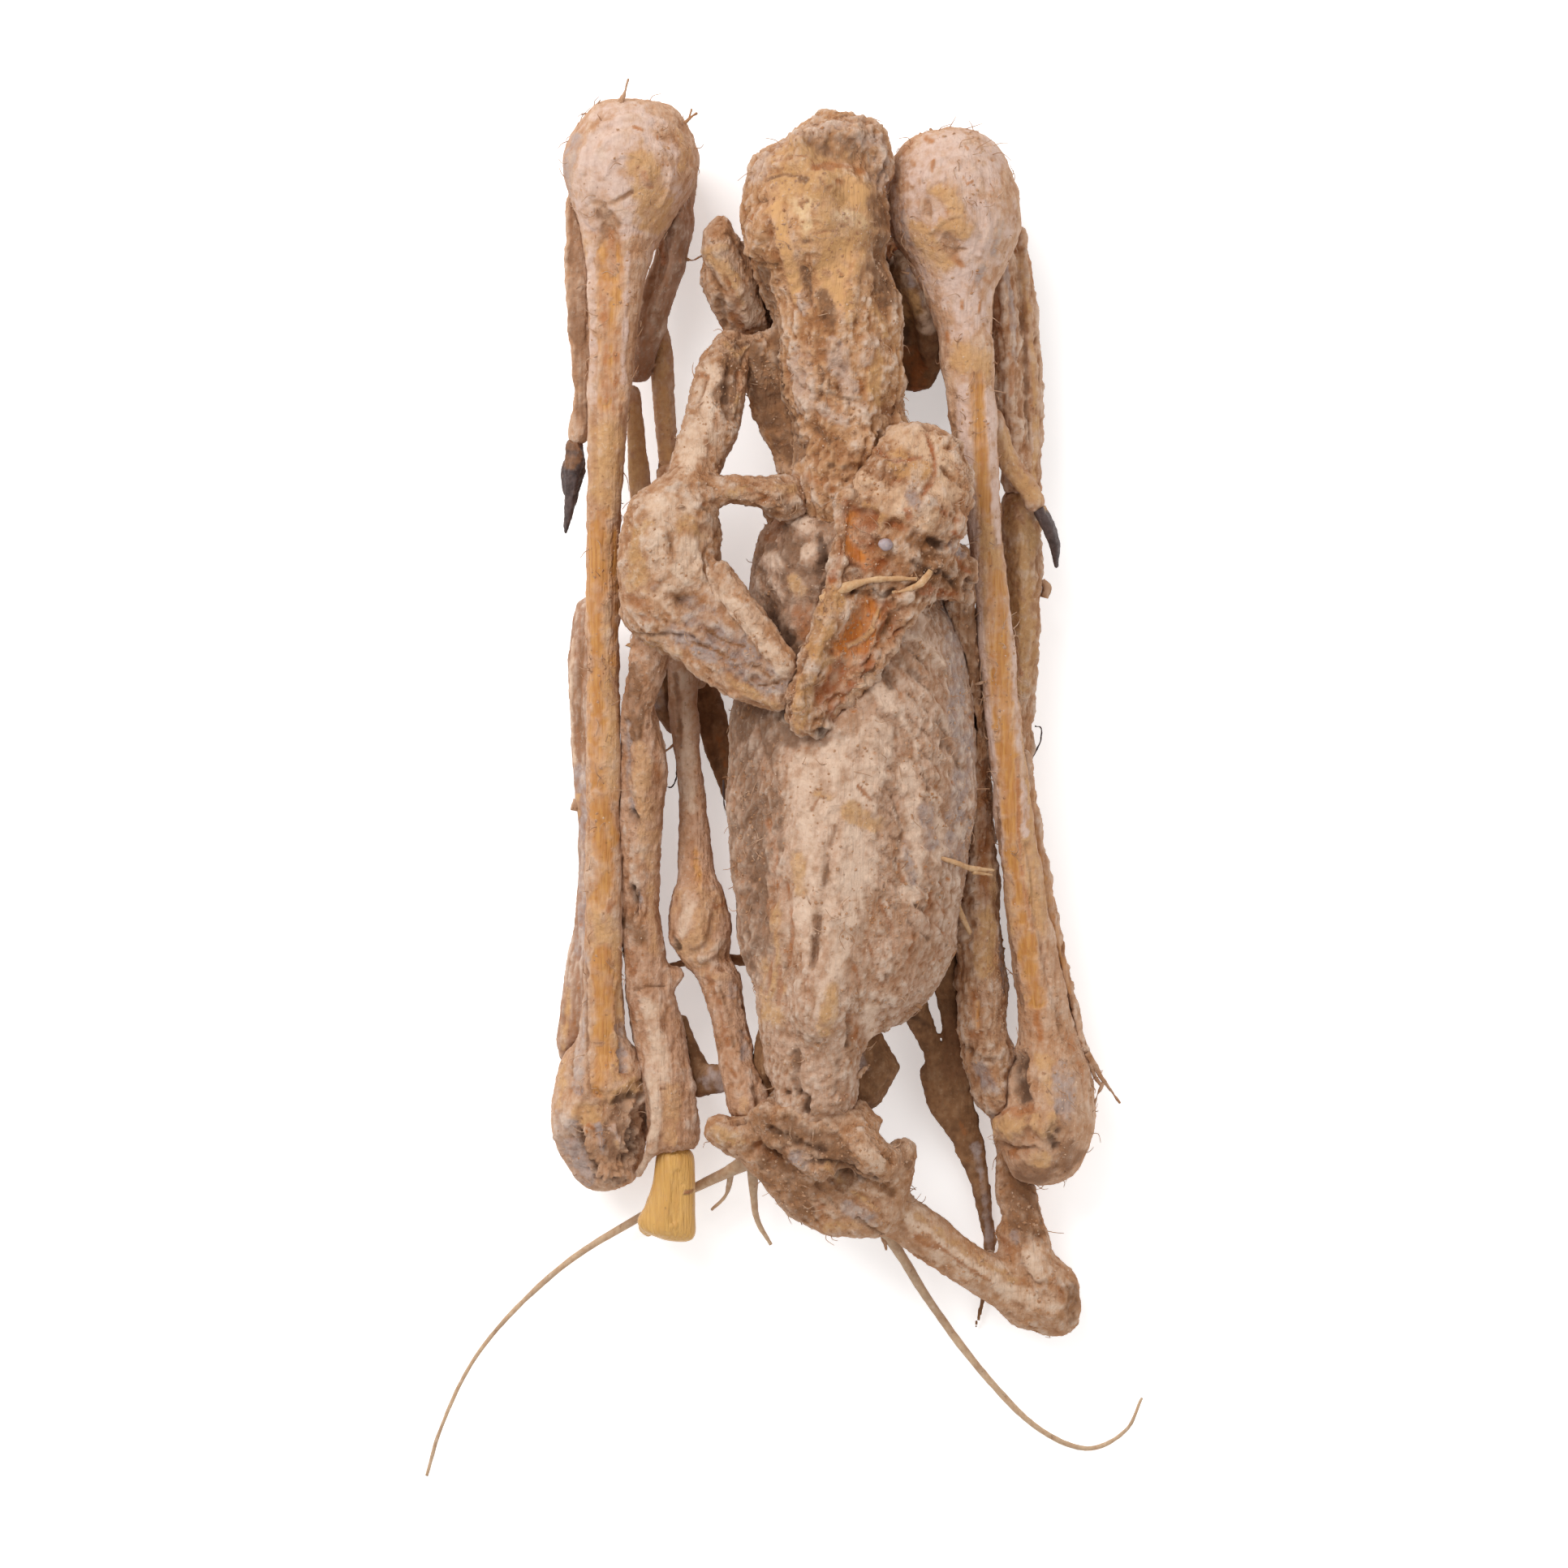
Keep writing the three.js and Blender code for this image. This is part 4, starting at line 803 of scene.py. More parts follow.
pieces["wingRight"] = {
    "nodes": ["wrist_right", "forearm_right", "elbow_right"],
    "coarse": 1.0,
    "soften": 16,
    "cords": [[(23.4, 103, 21, 4.4), (22, 97.6, 21, 6), (22.2, 92.6, 21, 5.8), (24.6, 88, 21, 4.2)]],
    "material": "wing",
    "slot": "cream_fascia",
    "surface": {**boneLike, "turns": (-6, -6, 0)},
    "strokes": [
        # wrist
        ("cream", 9, 0, (27.5, 98), (28, 90)), ("cream", 3.6, 0, (29.4, 82), (29.6, 76)),
        ("rim", 0.5, 0.4, (23, 99), (24.6, 101.8), (27.6, 102.8), (30.6, 101.4), (32.4, 98.6)),
        ("rim", 0.5, 0.4, (22.4, 94), (23.4, 97.4), (26, 99.2)),
        ("rim", 0.5, 0.4, (32.6, 95.6), (33.4, 91), (32, 86.6)),
        ("rim", 0.45, 0.4, (24, 90.4), (26.6, 92.6), (30, 92.8), (31.6, 90)),
        ("crust", 1.6, 0, (19.4, 100), (18.6, 93.6), (20.6, 87)),
        ("crust", 1.6, 0, (26.6, 88.6), (29.6, 86.4)),
        ("amber", 1.9, 0, (21.6, 90), (24.6, 87.4), (26.4, 86)),
        ("amber", 1.5, 0.3, (25, 97), (27.4, 95.6), (28.6, 92)),
        ("amber", 1.8, 0.3, (27, 91), (29.6, 90.6)), ("brown", 1.2, -0.5, (26.4, 89.4), (27.6, 87.6)),
        ("brown", 0.9, -0.4, (23.4, 95), (24, 92.6)),
        ("brown", 0.35, -0.3, (26, 87.6), (27.4, 87.4), (29.8, 87.6)),
        ("rust", 1, -0.2, (28.4, 86), (29, 85.2)), ("rust", 0.6, 0, (23.4, 105.8), (24.4, 105.4)),
        ("rust", 0.5, 0, (24.6, 101.8), (24.2, 100.4)), ("rust", 0.45, 0, (20.8, 102.2), (21.2, 101.6)),
        ("rust", 0.4, 0, (20, 104.6), (19.6, 103.6)), ("rust", 0.35, 0, (29.6, 104.6), (30, 104)),
        ("rust", 0.35, 0, (29.4, 99.4), (29.6, 98.6)), ("rust", 0.3, 0, (30, 98.2), (30.8, 98.6)),
        ("brown", 0.35, -0.1, (32.4, 101.6)), ("brown", 0.3, -0.1, (37.8, 92.8)),
        ("rust", 0.6, 0, (33, 82.8), (33.8, 82.4)), ("rust", 0.5, 0, (29.2, 79.2), (29.2, 77.8)),
        ("rust", 0.5, 0, (26.6, 74), (26.8, 72.6)), ("rust", 0.4, 0, (32.4, 79.4), (32, 77.4)),
        ("grey", 0.8, 0, (35.4, 92), (34.4, 87)), ("grey", 0.7, 0, (32.4, 84.6), (31.6, 82)),
        ("grey", 0.8, 0, (19, 94), (20.6, 88)),
        # forearm
        ("amber", 3.4, 0, (30.6, 69), (31.6, 58), (33, 42), (34.6, 26), (37, 4), (40, -22)),
        ("bare", 1.3, -0.1, (31.6, 66), (32.2, 58), (33, 50), (33.8, 44)),
        # the brown down the forearm's left side is painted shade
        ("bare", 0.6, 0.1, (31, 68), (31, 60)), ("brown", 0.6, -0.3, (27.9, 64), (28.4, 52), (29.4, 44)),
        ("cream", 1.1, 0.1, (29.2, 66), (29.8, 54), (30.8, 42), (32, 24), (33.6, 8), (35.6, -12)),
        ("cream", 1.1, 0.1, (34, 64), (35, 50), (35.8, 40)),
        ("cream", 0.9, 0.1, (36.8, 38), (37.4, 26), (38.2, 10), (39.6, -8)),
        ("bare", 1.4, 0, (35, 34), (35.4, 22), (36.6, 4), (37.4, -8), (39, -18), (40.4, -28), (41, -36)),
        ("bare", 0.6, 0, (33.6, 38), (34, 24), (35, 8)),
        ("rust", 0.4, -0.2, (38.4, 4), (38.8, -12), (40.8, -24)),
        ("brown", 0.5, -0.3, (35.2, -4), (35.6, -16), (37.4, -28), (39.2, -38)),
        ("groove", 0.5, -0.5, (40, -10), (41.6, -22), (44, -34), (46.4, -42)),
        ("rust", 1, -0.1, (41.4, -38), (42, -42)),
        ("rust", 0.8, -0.2, (46.8, -41), (48.4, -45), (49.6, -49)),
        # elbow
        ("amber", 1.6, 0.2, (43, -46), (44.6, -51)), ("grey", 1.4, 0, (46.2, -47), (46.4, -54)),
        ("dark", 1.1, -1.5, (38.8, -45.6), (38.8, -50), (40, -53)),
        ("rust", 1.2, 0.6, (37, -54.4), (40.6, -53.6)),
        ("amber", 2, 1.4, (37, -56.6), (40.6, -56), (42.4, -56.4)), ("crust", 6, 0, (40, -52), (42, -62)),
        ("dark", 0.8, -0.8, (43.4, -57.4), (44.8, -59.6)), ("dark", 0.7, -0.6, (43.6, -56.4), (45, -57)),
        ("brown", 0.5, -0.7, (36, -59.4), (38, -60.2), (41, -60)),
        ("rust", 0.8, -0.2, (37, -61), (38.6, -61.4)), ("brown", 2.2, 0, (40, -64.6), (44, -63), (48, -61)),
        ("amber", 1.2, 0, (41, -61.6), (43, -62)),
    ],
}
pieces["armLeft"] = {
    "nodes": ["arm_left"],
    "material": "pale",
    "surface": {"creases": (0.16, 3.0), "lumps": (0.35, 5.0), "crumbs": (0.16, 0.9)},
    "cords": [
        [
            (-22.6, -46, 17, 0.9), (-21.4, -50, 18, 1.2), (-21.3, -56, 18.2, 1.2), (-22.2, -61, 16.4, 1.1),
            (-24.4, -65, 12, 0.8),
        ],
        [(-22.6, -15.6, 19, 0.9), (-20.8, -18, 18.4, 0.35)],
    ],
    "strokes": [
        ("brown", 1.6, -0.2, (-25, 18), (-24.6, 8)),
        ("grey", 0.7, -0.5, (-26, 10), (-25.6, 2), (-24.6, -6)), ("rust", 1, 0, (-21.4, 5), (-20.6, 1)),
        ("amber", 1.6, 0, (-23.6, 5), (-23, -4), (-22, -12)),
        ("dark", 0.8, -0.5, (-24.8, -4.6), (-24.2, -7)),
        ("amber", 0.8, 0.1, (-22, -8), (-21.8, -18), (-21.4, -28)),
        ("dark", 0.8, -1.3, (-24.8, -17.2), (-24.4, -21.4)),
        ("grey", 0.5, -0.4, (-23.8, -17.4), (-23.4, -20.6)),
        ("brown", 1.3, -0.2, (-25.6, -22.6), (-23.6, -25)), ("rust", 0.9, 0, (-25.6, -28), (-25.2, -31)),
        ("rust", 0.8, 0, (-24.6, -36), (-25, -39)),
        ("brown", 0.35, -0.4, (-24.6, -34), (-22.4, -33.4), (-19.6, -33.4)),
        ("cream", 1.5, 0, (-21.6, -37), (-20.4, -46), (-19.6, -52)),
        ("rust", 1, -0.1, (-17.4, -51.6), (-17.6, -57.4)), ("amber", 1.4, 0, (-18.8, -50.6), (-18.6, -58)),
        ("cream", 1.1, 0.2, (-22, -48), (-21.3, -56), (-22.4, -61.4), (-24.4, -65)),
        ("brown", 0.35, -0.2, (-20.2, -50.2), (-19.6, -50.2)),
        ("cream", 0.9, 0.1, (-21, -62.6), (-17.6, -61.8), (-15, -61)),
    ],
}
pieces["armRight"] = {
    "nodes": ["arm_right"],
    "surface": {"lumps": (0.5, 4.0), "creases": (0.3, 2.6), "crumbs": (0.25, 1.1)},
    "strokes": [
        ("amber", 1.5, 0, (33.4, -13), (33.4, -30)), ("brown", 1.6, -0.2, (31, 28), (32, 14)),
        ("rust", 1.2, -0.5, (33.4, 3), (33.4, -6), (32.8, -13), (33, -19)),
        ("grey", 0.8, -0.1, (36, -24), (36.6, -34)), ("cream", 1, 0.1, (29.4, -20), (30, -25)),
        ("rust", 1.4, -0.2, (32, -35), (31.8, -41)), ("bare", 0.7, -0.1, (32, -36), (31.8, -40)),
        ("grey", 1.2, 0.1, (32, -46.6), (34, -50)),
        ("brown", 0.5, -0.5, (29.4, -43), (32, -45), (34.6, -45.4)),
        ("grey", 1.3, -0.2, (34, -56), (35.4, -60)),
    ],
}
pieces["humerusLeft"] = {
    "nodes": ["humerus_left"],
    "material": "stub",
    "slot": "bare_bone",
    "all": {"bare": 1},
    "calm": 0.85,
    "swell": 0.1,
    "surface": smooth,
    "cords": [[(-20.4, -68, 9, 2.4), (-21.6, -72, 8.6, 2.3), (-23.6, -74.6, 8.2, 1.5)]],
    "strokes": [
        ("groove", 0.8, -0.4, (-17.6, -64), (-18.2, -72)),
        ("rust", 0.3, -0.1, (-16.4, -67.4), (-15.2, -67.2)),
    ],
}
pieces["thumbs"] = {
    "nodes": ["thumb_left", "thumb_right"],
    "coarse": 0.42,
    "material": "wing",
    "voxel": 0.3,
    "surface": {**boneLike, "fibres": (0.2, 0.7, 16.0)},
    "strokes": [
        ("brown", 1.4, 0, (-34, 95), (-34, 84), (-33.4, 72), (-33, 62)),
        ("cream", 0.5, 0.2, (-32.6, 88), (-31.8, 70), (-31.8, 58)),
        ("amber", 1.4, 0, (35.6, 57), (38, 51.6), (41, 47)),
    ],
}
pieces["claws"] = {
    "nodes": ["thumb_claw_left", "thumb_claw_right"],
    "coarse": 0.2,
    "material": "claw",
    "slot": "claw_horn",
    "voxel": 0.15,
    "swell": 0.1,
    "soften": 5,
    "surface": {**smooth, "lumps": (0.08, 1.6), "crumbs": (0.05, 0.6)},
    "cords": [
        [(-34.8, 56.2, 19.4, 0.9), (-34.2, 53.6, 20, 1.4), (-34.6, 51, 20, 1)],
        [(-33.4, 55, 19, 0.5), (-33.4, 52.6, 19, 0.8), (-33.8, 50.4, 19, 0.4)],
        [(-35.6, 53, 19, 0.8), (-36.2, 51.4, 18.6, 0.6), (-36.4, 49.6, 18.2, 0.4), (-36.3, 47.8, 18, 0.15)],
        [(-34.4, 50.6, 19, 1.1), (-35, 47.4, 18, 0.9), (-35.4, 44.4, 17, 0.6), (-36, 41.2, 15.6, 0.2)],
    ],
    "strokes": [
        ("crust", 2.6, 0, (-34.4, 56), (-34.6, 50.6)), ("brown", 1.6, 0, (-34.6, 56), (-34.4, 54)),
        ("amber", 0.6, 0, (42.6, 46.6), (43.2, 45.4)),
    ],
}
pieces["fingersLeft"] = {
    "nodes": ["second_finger_left", "third_finger_left"],
    "coarse": 0.42,
    "material": "wing",
    "voxel": 0.3,
    "surface": {**boneLike, "lumps": (0.15, 4.0), "creases": (0.05, 2.0)},
    "strokes": [
        ("bare", 0.7, 0, (-21.2, 80), (-19.8, 62), (-18.8, 48)),
        ("amber", 1.4, 0, (-24.6, 62), (-23.8, 48)), ("amber", 1.2, 0, (-20.6, 72), (-19.2, 52)),
    ],
}
pieces["fingersRight"] = {
    "nodes": ["second_finger_right", "third_finger_right", "outer_finger_right"],
    "coarse": 0.42,
    "material": "wing",
    "voxel": 0.3,
    "surface": {"lumps": (0.35, 2.6), "creases": (0.25, 2.2), "fibres": (0.25, 0.8, 9.0)},
    "strokes": [
        ("grey", 0.8, 0, (36.4, 86), (37.6, 80), (38, 70)), ("rust", 0.8, -0.2, (35, 80), (35.6, 74)),
        ("rust", 0.5, -0.1, (37, 71), (37.8, 68), (37.4, 64)),
        ("brown", 0.4, -0.3, (39, 84), (40, 70), (40.2, 56)),
        ("amber", 0.7, 0, (38.8, 88), (40.8, 74), (41.6, 60), (41.4, 50)),
        ("bare", 0.9, 0, (40, 0), (42, -12), (44.6, -24), (47, -34)),
    ],
}
pieces["bundleLeft"] = {
    "nodes": ["finger_bundle_left"],
    "voxel": 0.42,
    "material": "flap",
    "surface": {
        "lumps": (0.25, 6.0),
        "fibres": (0.25, 0.9, 18.0),
        "creases": (0.08, 2.4),
        "crumbs": (0.1, 0.9),
    },
    "strokes": [
        ("brown", 0.6, -0.3, (-33.2, 26), (-33.8, 14), (-33.4, 2)),
        ("cream", 0.4, 0.2, (-34.8, 24), (-35, 10), (-34, 0)),
        ("grey", 1.2, 0, (-33.6, 2), (-33, -14), (-33.4, -28)), ("amber", 0.7, 0.1, (-34, -2), (-34.2, -5)),
        ("amber", 0.8, 0, (-35.4, -34), (-36.6, -44)),
    ],
}
pieces["bundleRight"] = {
    "nodes": ["finger_bundle_right"],
    "surface": {
        "lumps": (0.45, 3.0),
        "fibres": (0.15, 1.0, 8.0),
        "crumbs": (0.28, 1.2),
        "creases": (0.3, 2.6),
    },
    "strokes": [
        ("amber", 3, 0, (38.6, 44), (39, 30), (39, 18)), ("rust", 0.6, -0.1, (38, 46), (39.4, 43)),
        ("rust", 0.5, 0, (38, 24), (39, 18)), ("brown", 0.6, -0.4, (38, 15), (38.6, 8), (38.8, 2)),
        ("grey", 0.4, 0.1, (37.2, 27), (37.8, 20), (38, 12)),
    ],
}
pieces["headAndNeck"] = {
    "nodes": ["skull", "neck", "neck_strap_left"],
    "coarse": 0.9,
    "soften": 12,
    "material": "head",
    "surface": {"lumps": (0.45, 3.2), "creases": (0.5, 2.0), "crumbs": (0.26, 1.0), "pits": (0.1, 1.5)},
    "cords": [
        [(2.8, 104.8, 32.6, 2.2), (8, 105.9, 33.8, 2.4), (12.6, 105.6, 33, 2.4)],
        [(4.6, 103.4, 34.6, 2.6), (9, 103.2, 33.8, 3), (13.4, 102.6, 32.6, 3)],
        [(14.6, 103.4, 29, 3), (15.4, 98.6, 28, 3.4)],
        [(-1.4, 67, 21, 2.2), (0.4, 62, 20.6, 2.2), (1.8, 57, 21.4, 2.4)],
        [(7.6, 56, 30, 4.4), (9.6, 51, 31, 4.4), (11.6, 47, 32, 3.4)],
        [(11, 63, 26, 4), (15.4, 58.4, 28, 5), (20, 53, 30, 4)],
    ],
    "strokes": [
        # crusted neck, and the rim of the opening in the skull
        ("crust", 9, 0, (3, 66), (10, 56)), ("crust", 2.4, 0, (-3, 103), (4, 106.6), (13, 107), (16, 100)),
        ("grey", 2.4, 0, (-2, 103.6), (4, 106.4), (12, 107), (15.6, 103.6), (15.6, 98)),
        ("rust", 0.5, -0.2, (-3, 102), (1, 103.6), (3, 105.4)),
        ("calm", 2.6, -0.7, (6, 103.6), (12, 103.2)),
        ("brown", 2.1, -0.5, (6.4, 103.6), (9, 104), (12, 103)),
        ("brown", 1.4, 0, (5.6, 103.4), (12.6, 102.8)),
        ("brown", 1.9, -0.3, (5.8, 103.6), (9, 104.2), (12.4, 103.2)),
        ("grey", 0.9, 0, (12.8, 106), (14.2, 104)), ("grey", 1.5, 0, (-4.6, 100), (-2.4, 102.6)),
        # smooth braincase with fine cracks
        ("calm", 7, 0, (5, 97), (8, 90)), ("calm", 3, 0, (8, 86), (8.6, 80)),
        ("bare", 2.6, 0.1, (1.6, 96), (3.4, 92)), ("amber", 5, 0.1, (4, 99), (10, 95), (6.4, 89)),
        ("bare", 1.7, 0.1, (10.4, 97.6), (13, 95)), ("cream", 2, 0.2, (3, 93.6), (4, 91.4)),
        ("cream", 1.2, 0.2, (9, 92.6), (12.4, 91.8)),
        ("brown", 0.3, -0.3, (-1.6, 95), (-2.2, 91), (-1.8, 87.6), (0, 85)),
        ("rust", 0.3, -0.2, (5, 89.8), (8.4, 90), (9.4, 88)),
        ("brown", 0.3, -0.2, (5.8, 98.6), (7.2, 96.6)),
        ("rust", 0.3, -0.2, (-1, 101.6), (3, 102.4), (6, 101.4)),
        ("brown", 0.3, -0.2, (-3, 98.6), (-0.6, 99.4), (2, 99.2)),
        # the brown at the skull's right edge is painted shade
        ("brown", 1.6, -0.3, (15.4, 95), (16.4, 92.4)), ("bare", 2.4, 0.2, (7.6, 87), (8.4, 81)),
        ("bare", 1.1, 0.6, (-1, 94), (0, 88.6), (1.4, 84), (2.4, 79.4)),
        ("amber", 1, 0.6, (12.4, 86), (11.2, 81), (10.6, 76)), ("amber", 0.9, 0.5, (15, 78), (16.4, 73.4)),
        # ear region and cheek
        ("lobe", 1.7, 0.9, (-3.8, 91.4), (-4.4, 89)), ("lobe", 1.4, 0.9, (-3.4, 87.2), (-2.4, 86)),
        ("brown", 0.45, -0.8, (-6.4, 90.4), (-6, 88), (-4, 85.6), (-1.2, 84.8)),
        ("rust", 0.6, -0.3, (-2.4, 92), (-2, 88), (-0.6, 85.4)),
        ("brown", 0.45, -0.5, (-5, 95), (-3, 95.3)), ("rust", 0.6, -0.3, (-5.4, 92), (-4, 93.6)),
        ("brown", 0.3, -0.2, (2.8, 94.6), (3.9, 95)), ("brown", 0.8, -0.2, (2.6, 98.4), (3.2, 98.4)),
        ("brown", 0.35, -0.2, (9.4, 91), (10.3, 91.2)), ("brown", 0.45, -0.2, (3.2, 88.4), (4.3, 88.4)),
        ("rust", 0.35, -0.2, (6.8, 96.8), (7.6, 97.4)), ("rust", 0.6, -0.2, (8.6, 98.4), (9.2, 98)),
        ("rust", 0.5, -0.2, (6.6, 83.4), (7.4, 83.4)), ("rust", 0.4, -0.2, (8.8, 83.8), (9.4, 83)),
        ("rust", 1, 0, (5, 101), (9, 101), (13, 100)),
        # neck muscles, then the crust between the shoulders
        ("brown", 1.2, -0.5, (6.4, 79.6), (7.4, 75.6)),
        ("brown", 1.2, -0.5, (-4, 84), (-3, 80), (-1.6, 75), (-1.4, 71)),
        ("brown", 0.9, -0.6, (3.4, 84), (4, 78.6)), ("grey", 0.9, 0.2, (2.8, 80), (3.2, 77)),
        ("grey", 1.2, 0.2, (1.8, 71.4), (3, 69.6)), ("amber", 1.4, 0.3, (14.6, 70), (15, 63)),
        ("grey", 1.1, 0.2, (11, 62.6), (12.6, 61.8)), ("brown", 0.5, -0.7, (15.4, 57.4), (16, 53.4)),
        ("brown", 0.5, -0.6, (1.4, 57), (3.4, 54)), ("rust", 0.9, 0, (4, 50), (8, 48)),
        # the broad brown is the strap's dark colour and painted shade in the recess beside it
        ("brown", 2.6, -0.3, (-6.4, 74), (-3.4, 67), (-0.6, 60), (2, 54)),
        ("calm", 2.6, 0, (-4.6, 70), (-1.6, 61), (1, 53)),
        ("dark", 0.6, -0.2, (-1.6, 71), (-0.8, 66), (0.4, 60.6)),
        ("brown", 2, -0.2, (16.4, 88), (16.6, 80)), ("brown", 0.6, -0.5, (4.6, 58), (7, 56), (9, 56.6)),
        ("brown", 0.6, -0.5, (7.6, 52), (11, 51.6), (15, 50.4)),
        ("brown", 0.5, -0.4, (2.4, 65), (6, 63.6), (9, 64.4)),
        ("brown", 0.5, -0.4, (8.6, 68.4), (12, 66.8)), ("rust", 0.5, -0.3, (14, 76), (14.8, 70)),
        ("grey", 1.8, 0.5, (2.4, 69), (3.6, 62)), ("grey", 1.5, 0.5, (8.4, 71), (10.6, 65)),
        ("grey", 1.3, 0.5, (6.6, 61), (9.6, 59)), ("grey", 1.2, 0.4, (14, 72.4), (13, 69)),
        ("brown", 0.4, -0.4, (5.4, 69), (6.4, 66), (5.6, 62.6)),
        ("brown", 0.4, -0.4, (7.4, 66), (8, 63.6), (12, 62.4)), ("rust", 0.5, -0.2, (12.4, 66), (13.4, 63)),
        ("lobe", 1.6, 0.6, (4.6, 54), (6.4, 52)), ("lobe", 1.6, 0.7, (12.4, 58), (14.6, 54.6)),
    ],
}
pieces["jaw"] = {
    "nodes": ["jaw"],
    "slot": "bare_bone",
    "surface": {"lumps": (0.4, 3.5), "creases": (0.35, 2.4), "crumbs": (0.24, 1.1), "turns": (28, 28, 0)},
    "cords": [
        [(-10.4, 88.4, 21, 2.6), (-8, 84, 21, 4.2), (-6.2, 79, 19, 4.2), (-5, 74.6, 16, 3.4)],
        [(-4.4, 90, 19, 2), (-3.6, 84, 19, 2.8), (-3, 78, 17, 2.4)],
    ],
    "strokes": [
        ("brown", 1.4, -0.2, (-7.6, 90), (-5.6, 86), (-3.4, 81)),
        ("brown", 0.9, -0.5, (-11.8, 84.4), (-10.6, 80.4), (-9.8, 76)),
        ("cream", 2, 0, (-10.6, 87), (-8.4, 82.6)),
        ("amber", 1.4, 0.5, (-11.4, 86.6), (-8.8, 83), (-7, 79)),
        ("amber", 0.8, 0.3, (-13, 87.4), (-9.6, 88)), ("rust", 1.3, 0, (-8, 77.4), (-6, 75)),
        ("dark", 0.9, -0.8, (-4.4, 86.6), (-2.6, 80), (-1.6, 76)),
        ("cream", 1.4, 0.2, (-6.4, 81), (-5, 77.6)), ("rust", 0.8, -0.5, (-9.4, 83), (-7.6, 78.6)),
        ("cream", 0.6, 0.3, (-6.6, 78.6), (-5.4, 74.6)), ("brown", 1.6, 0, (-8.6, 72.6), (-3, 70)),
        ("dark", 1.2, 0, (-4.4, 72.4), (-1, 71)),
    ],
}
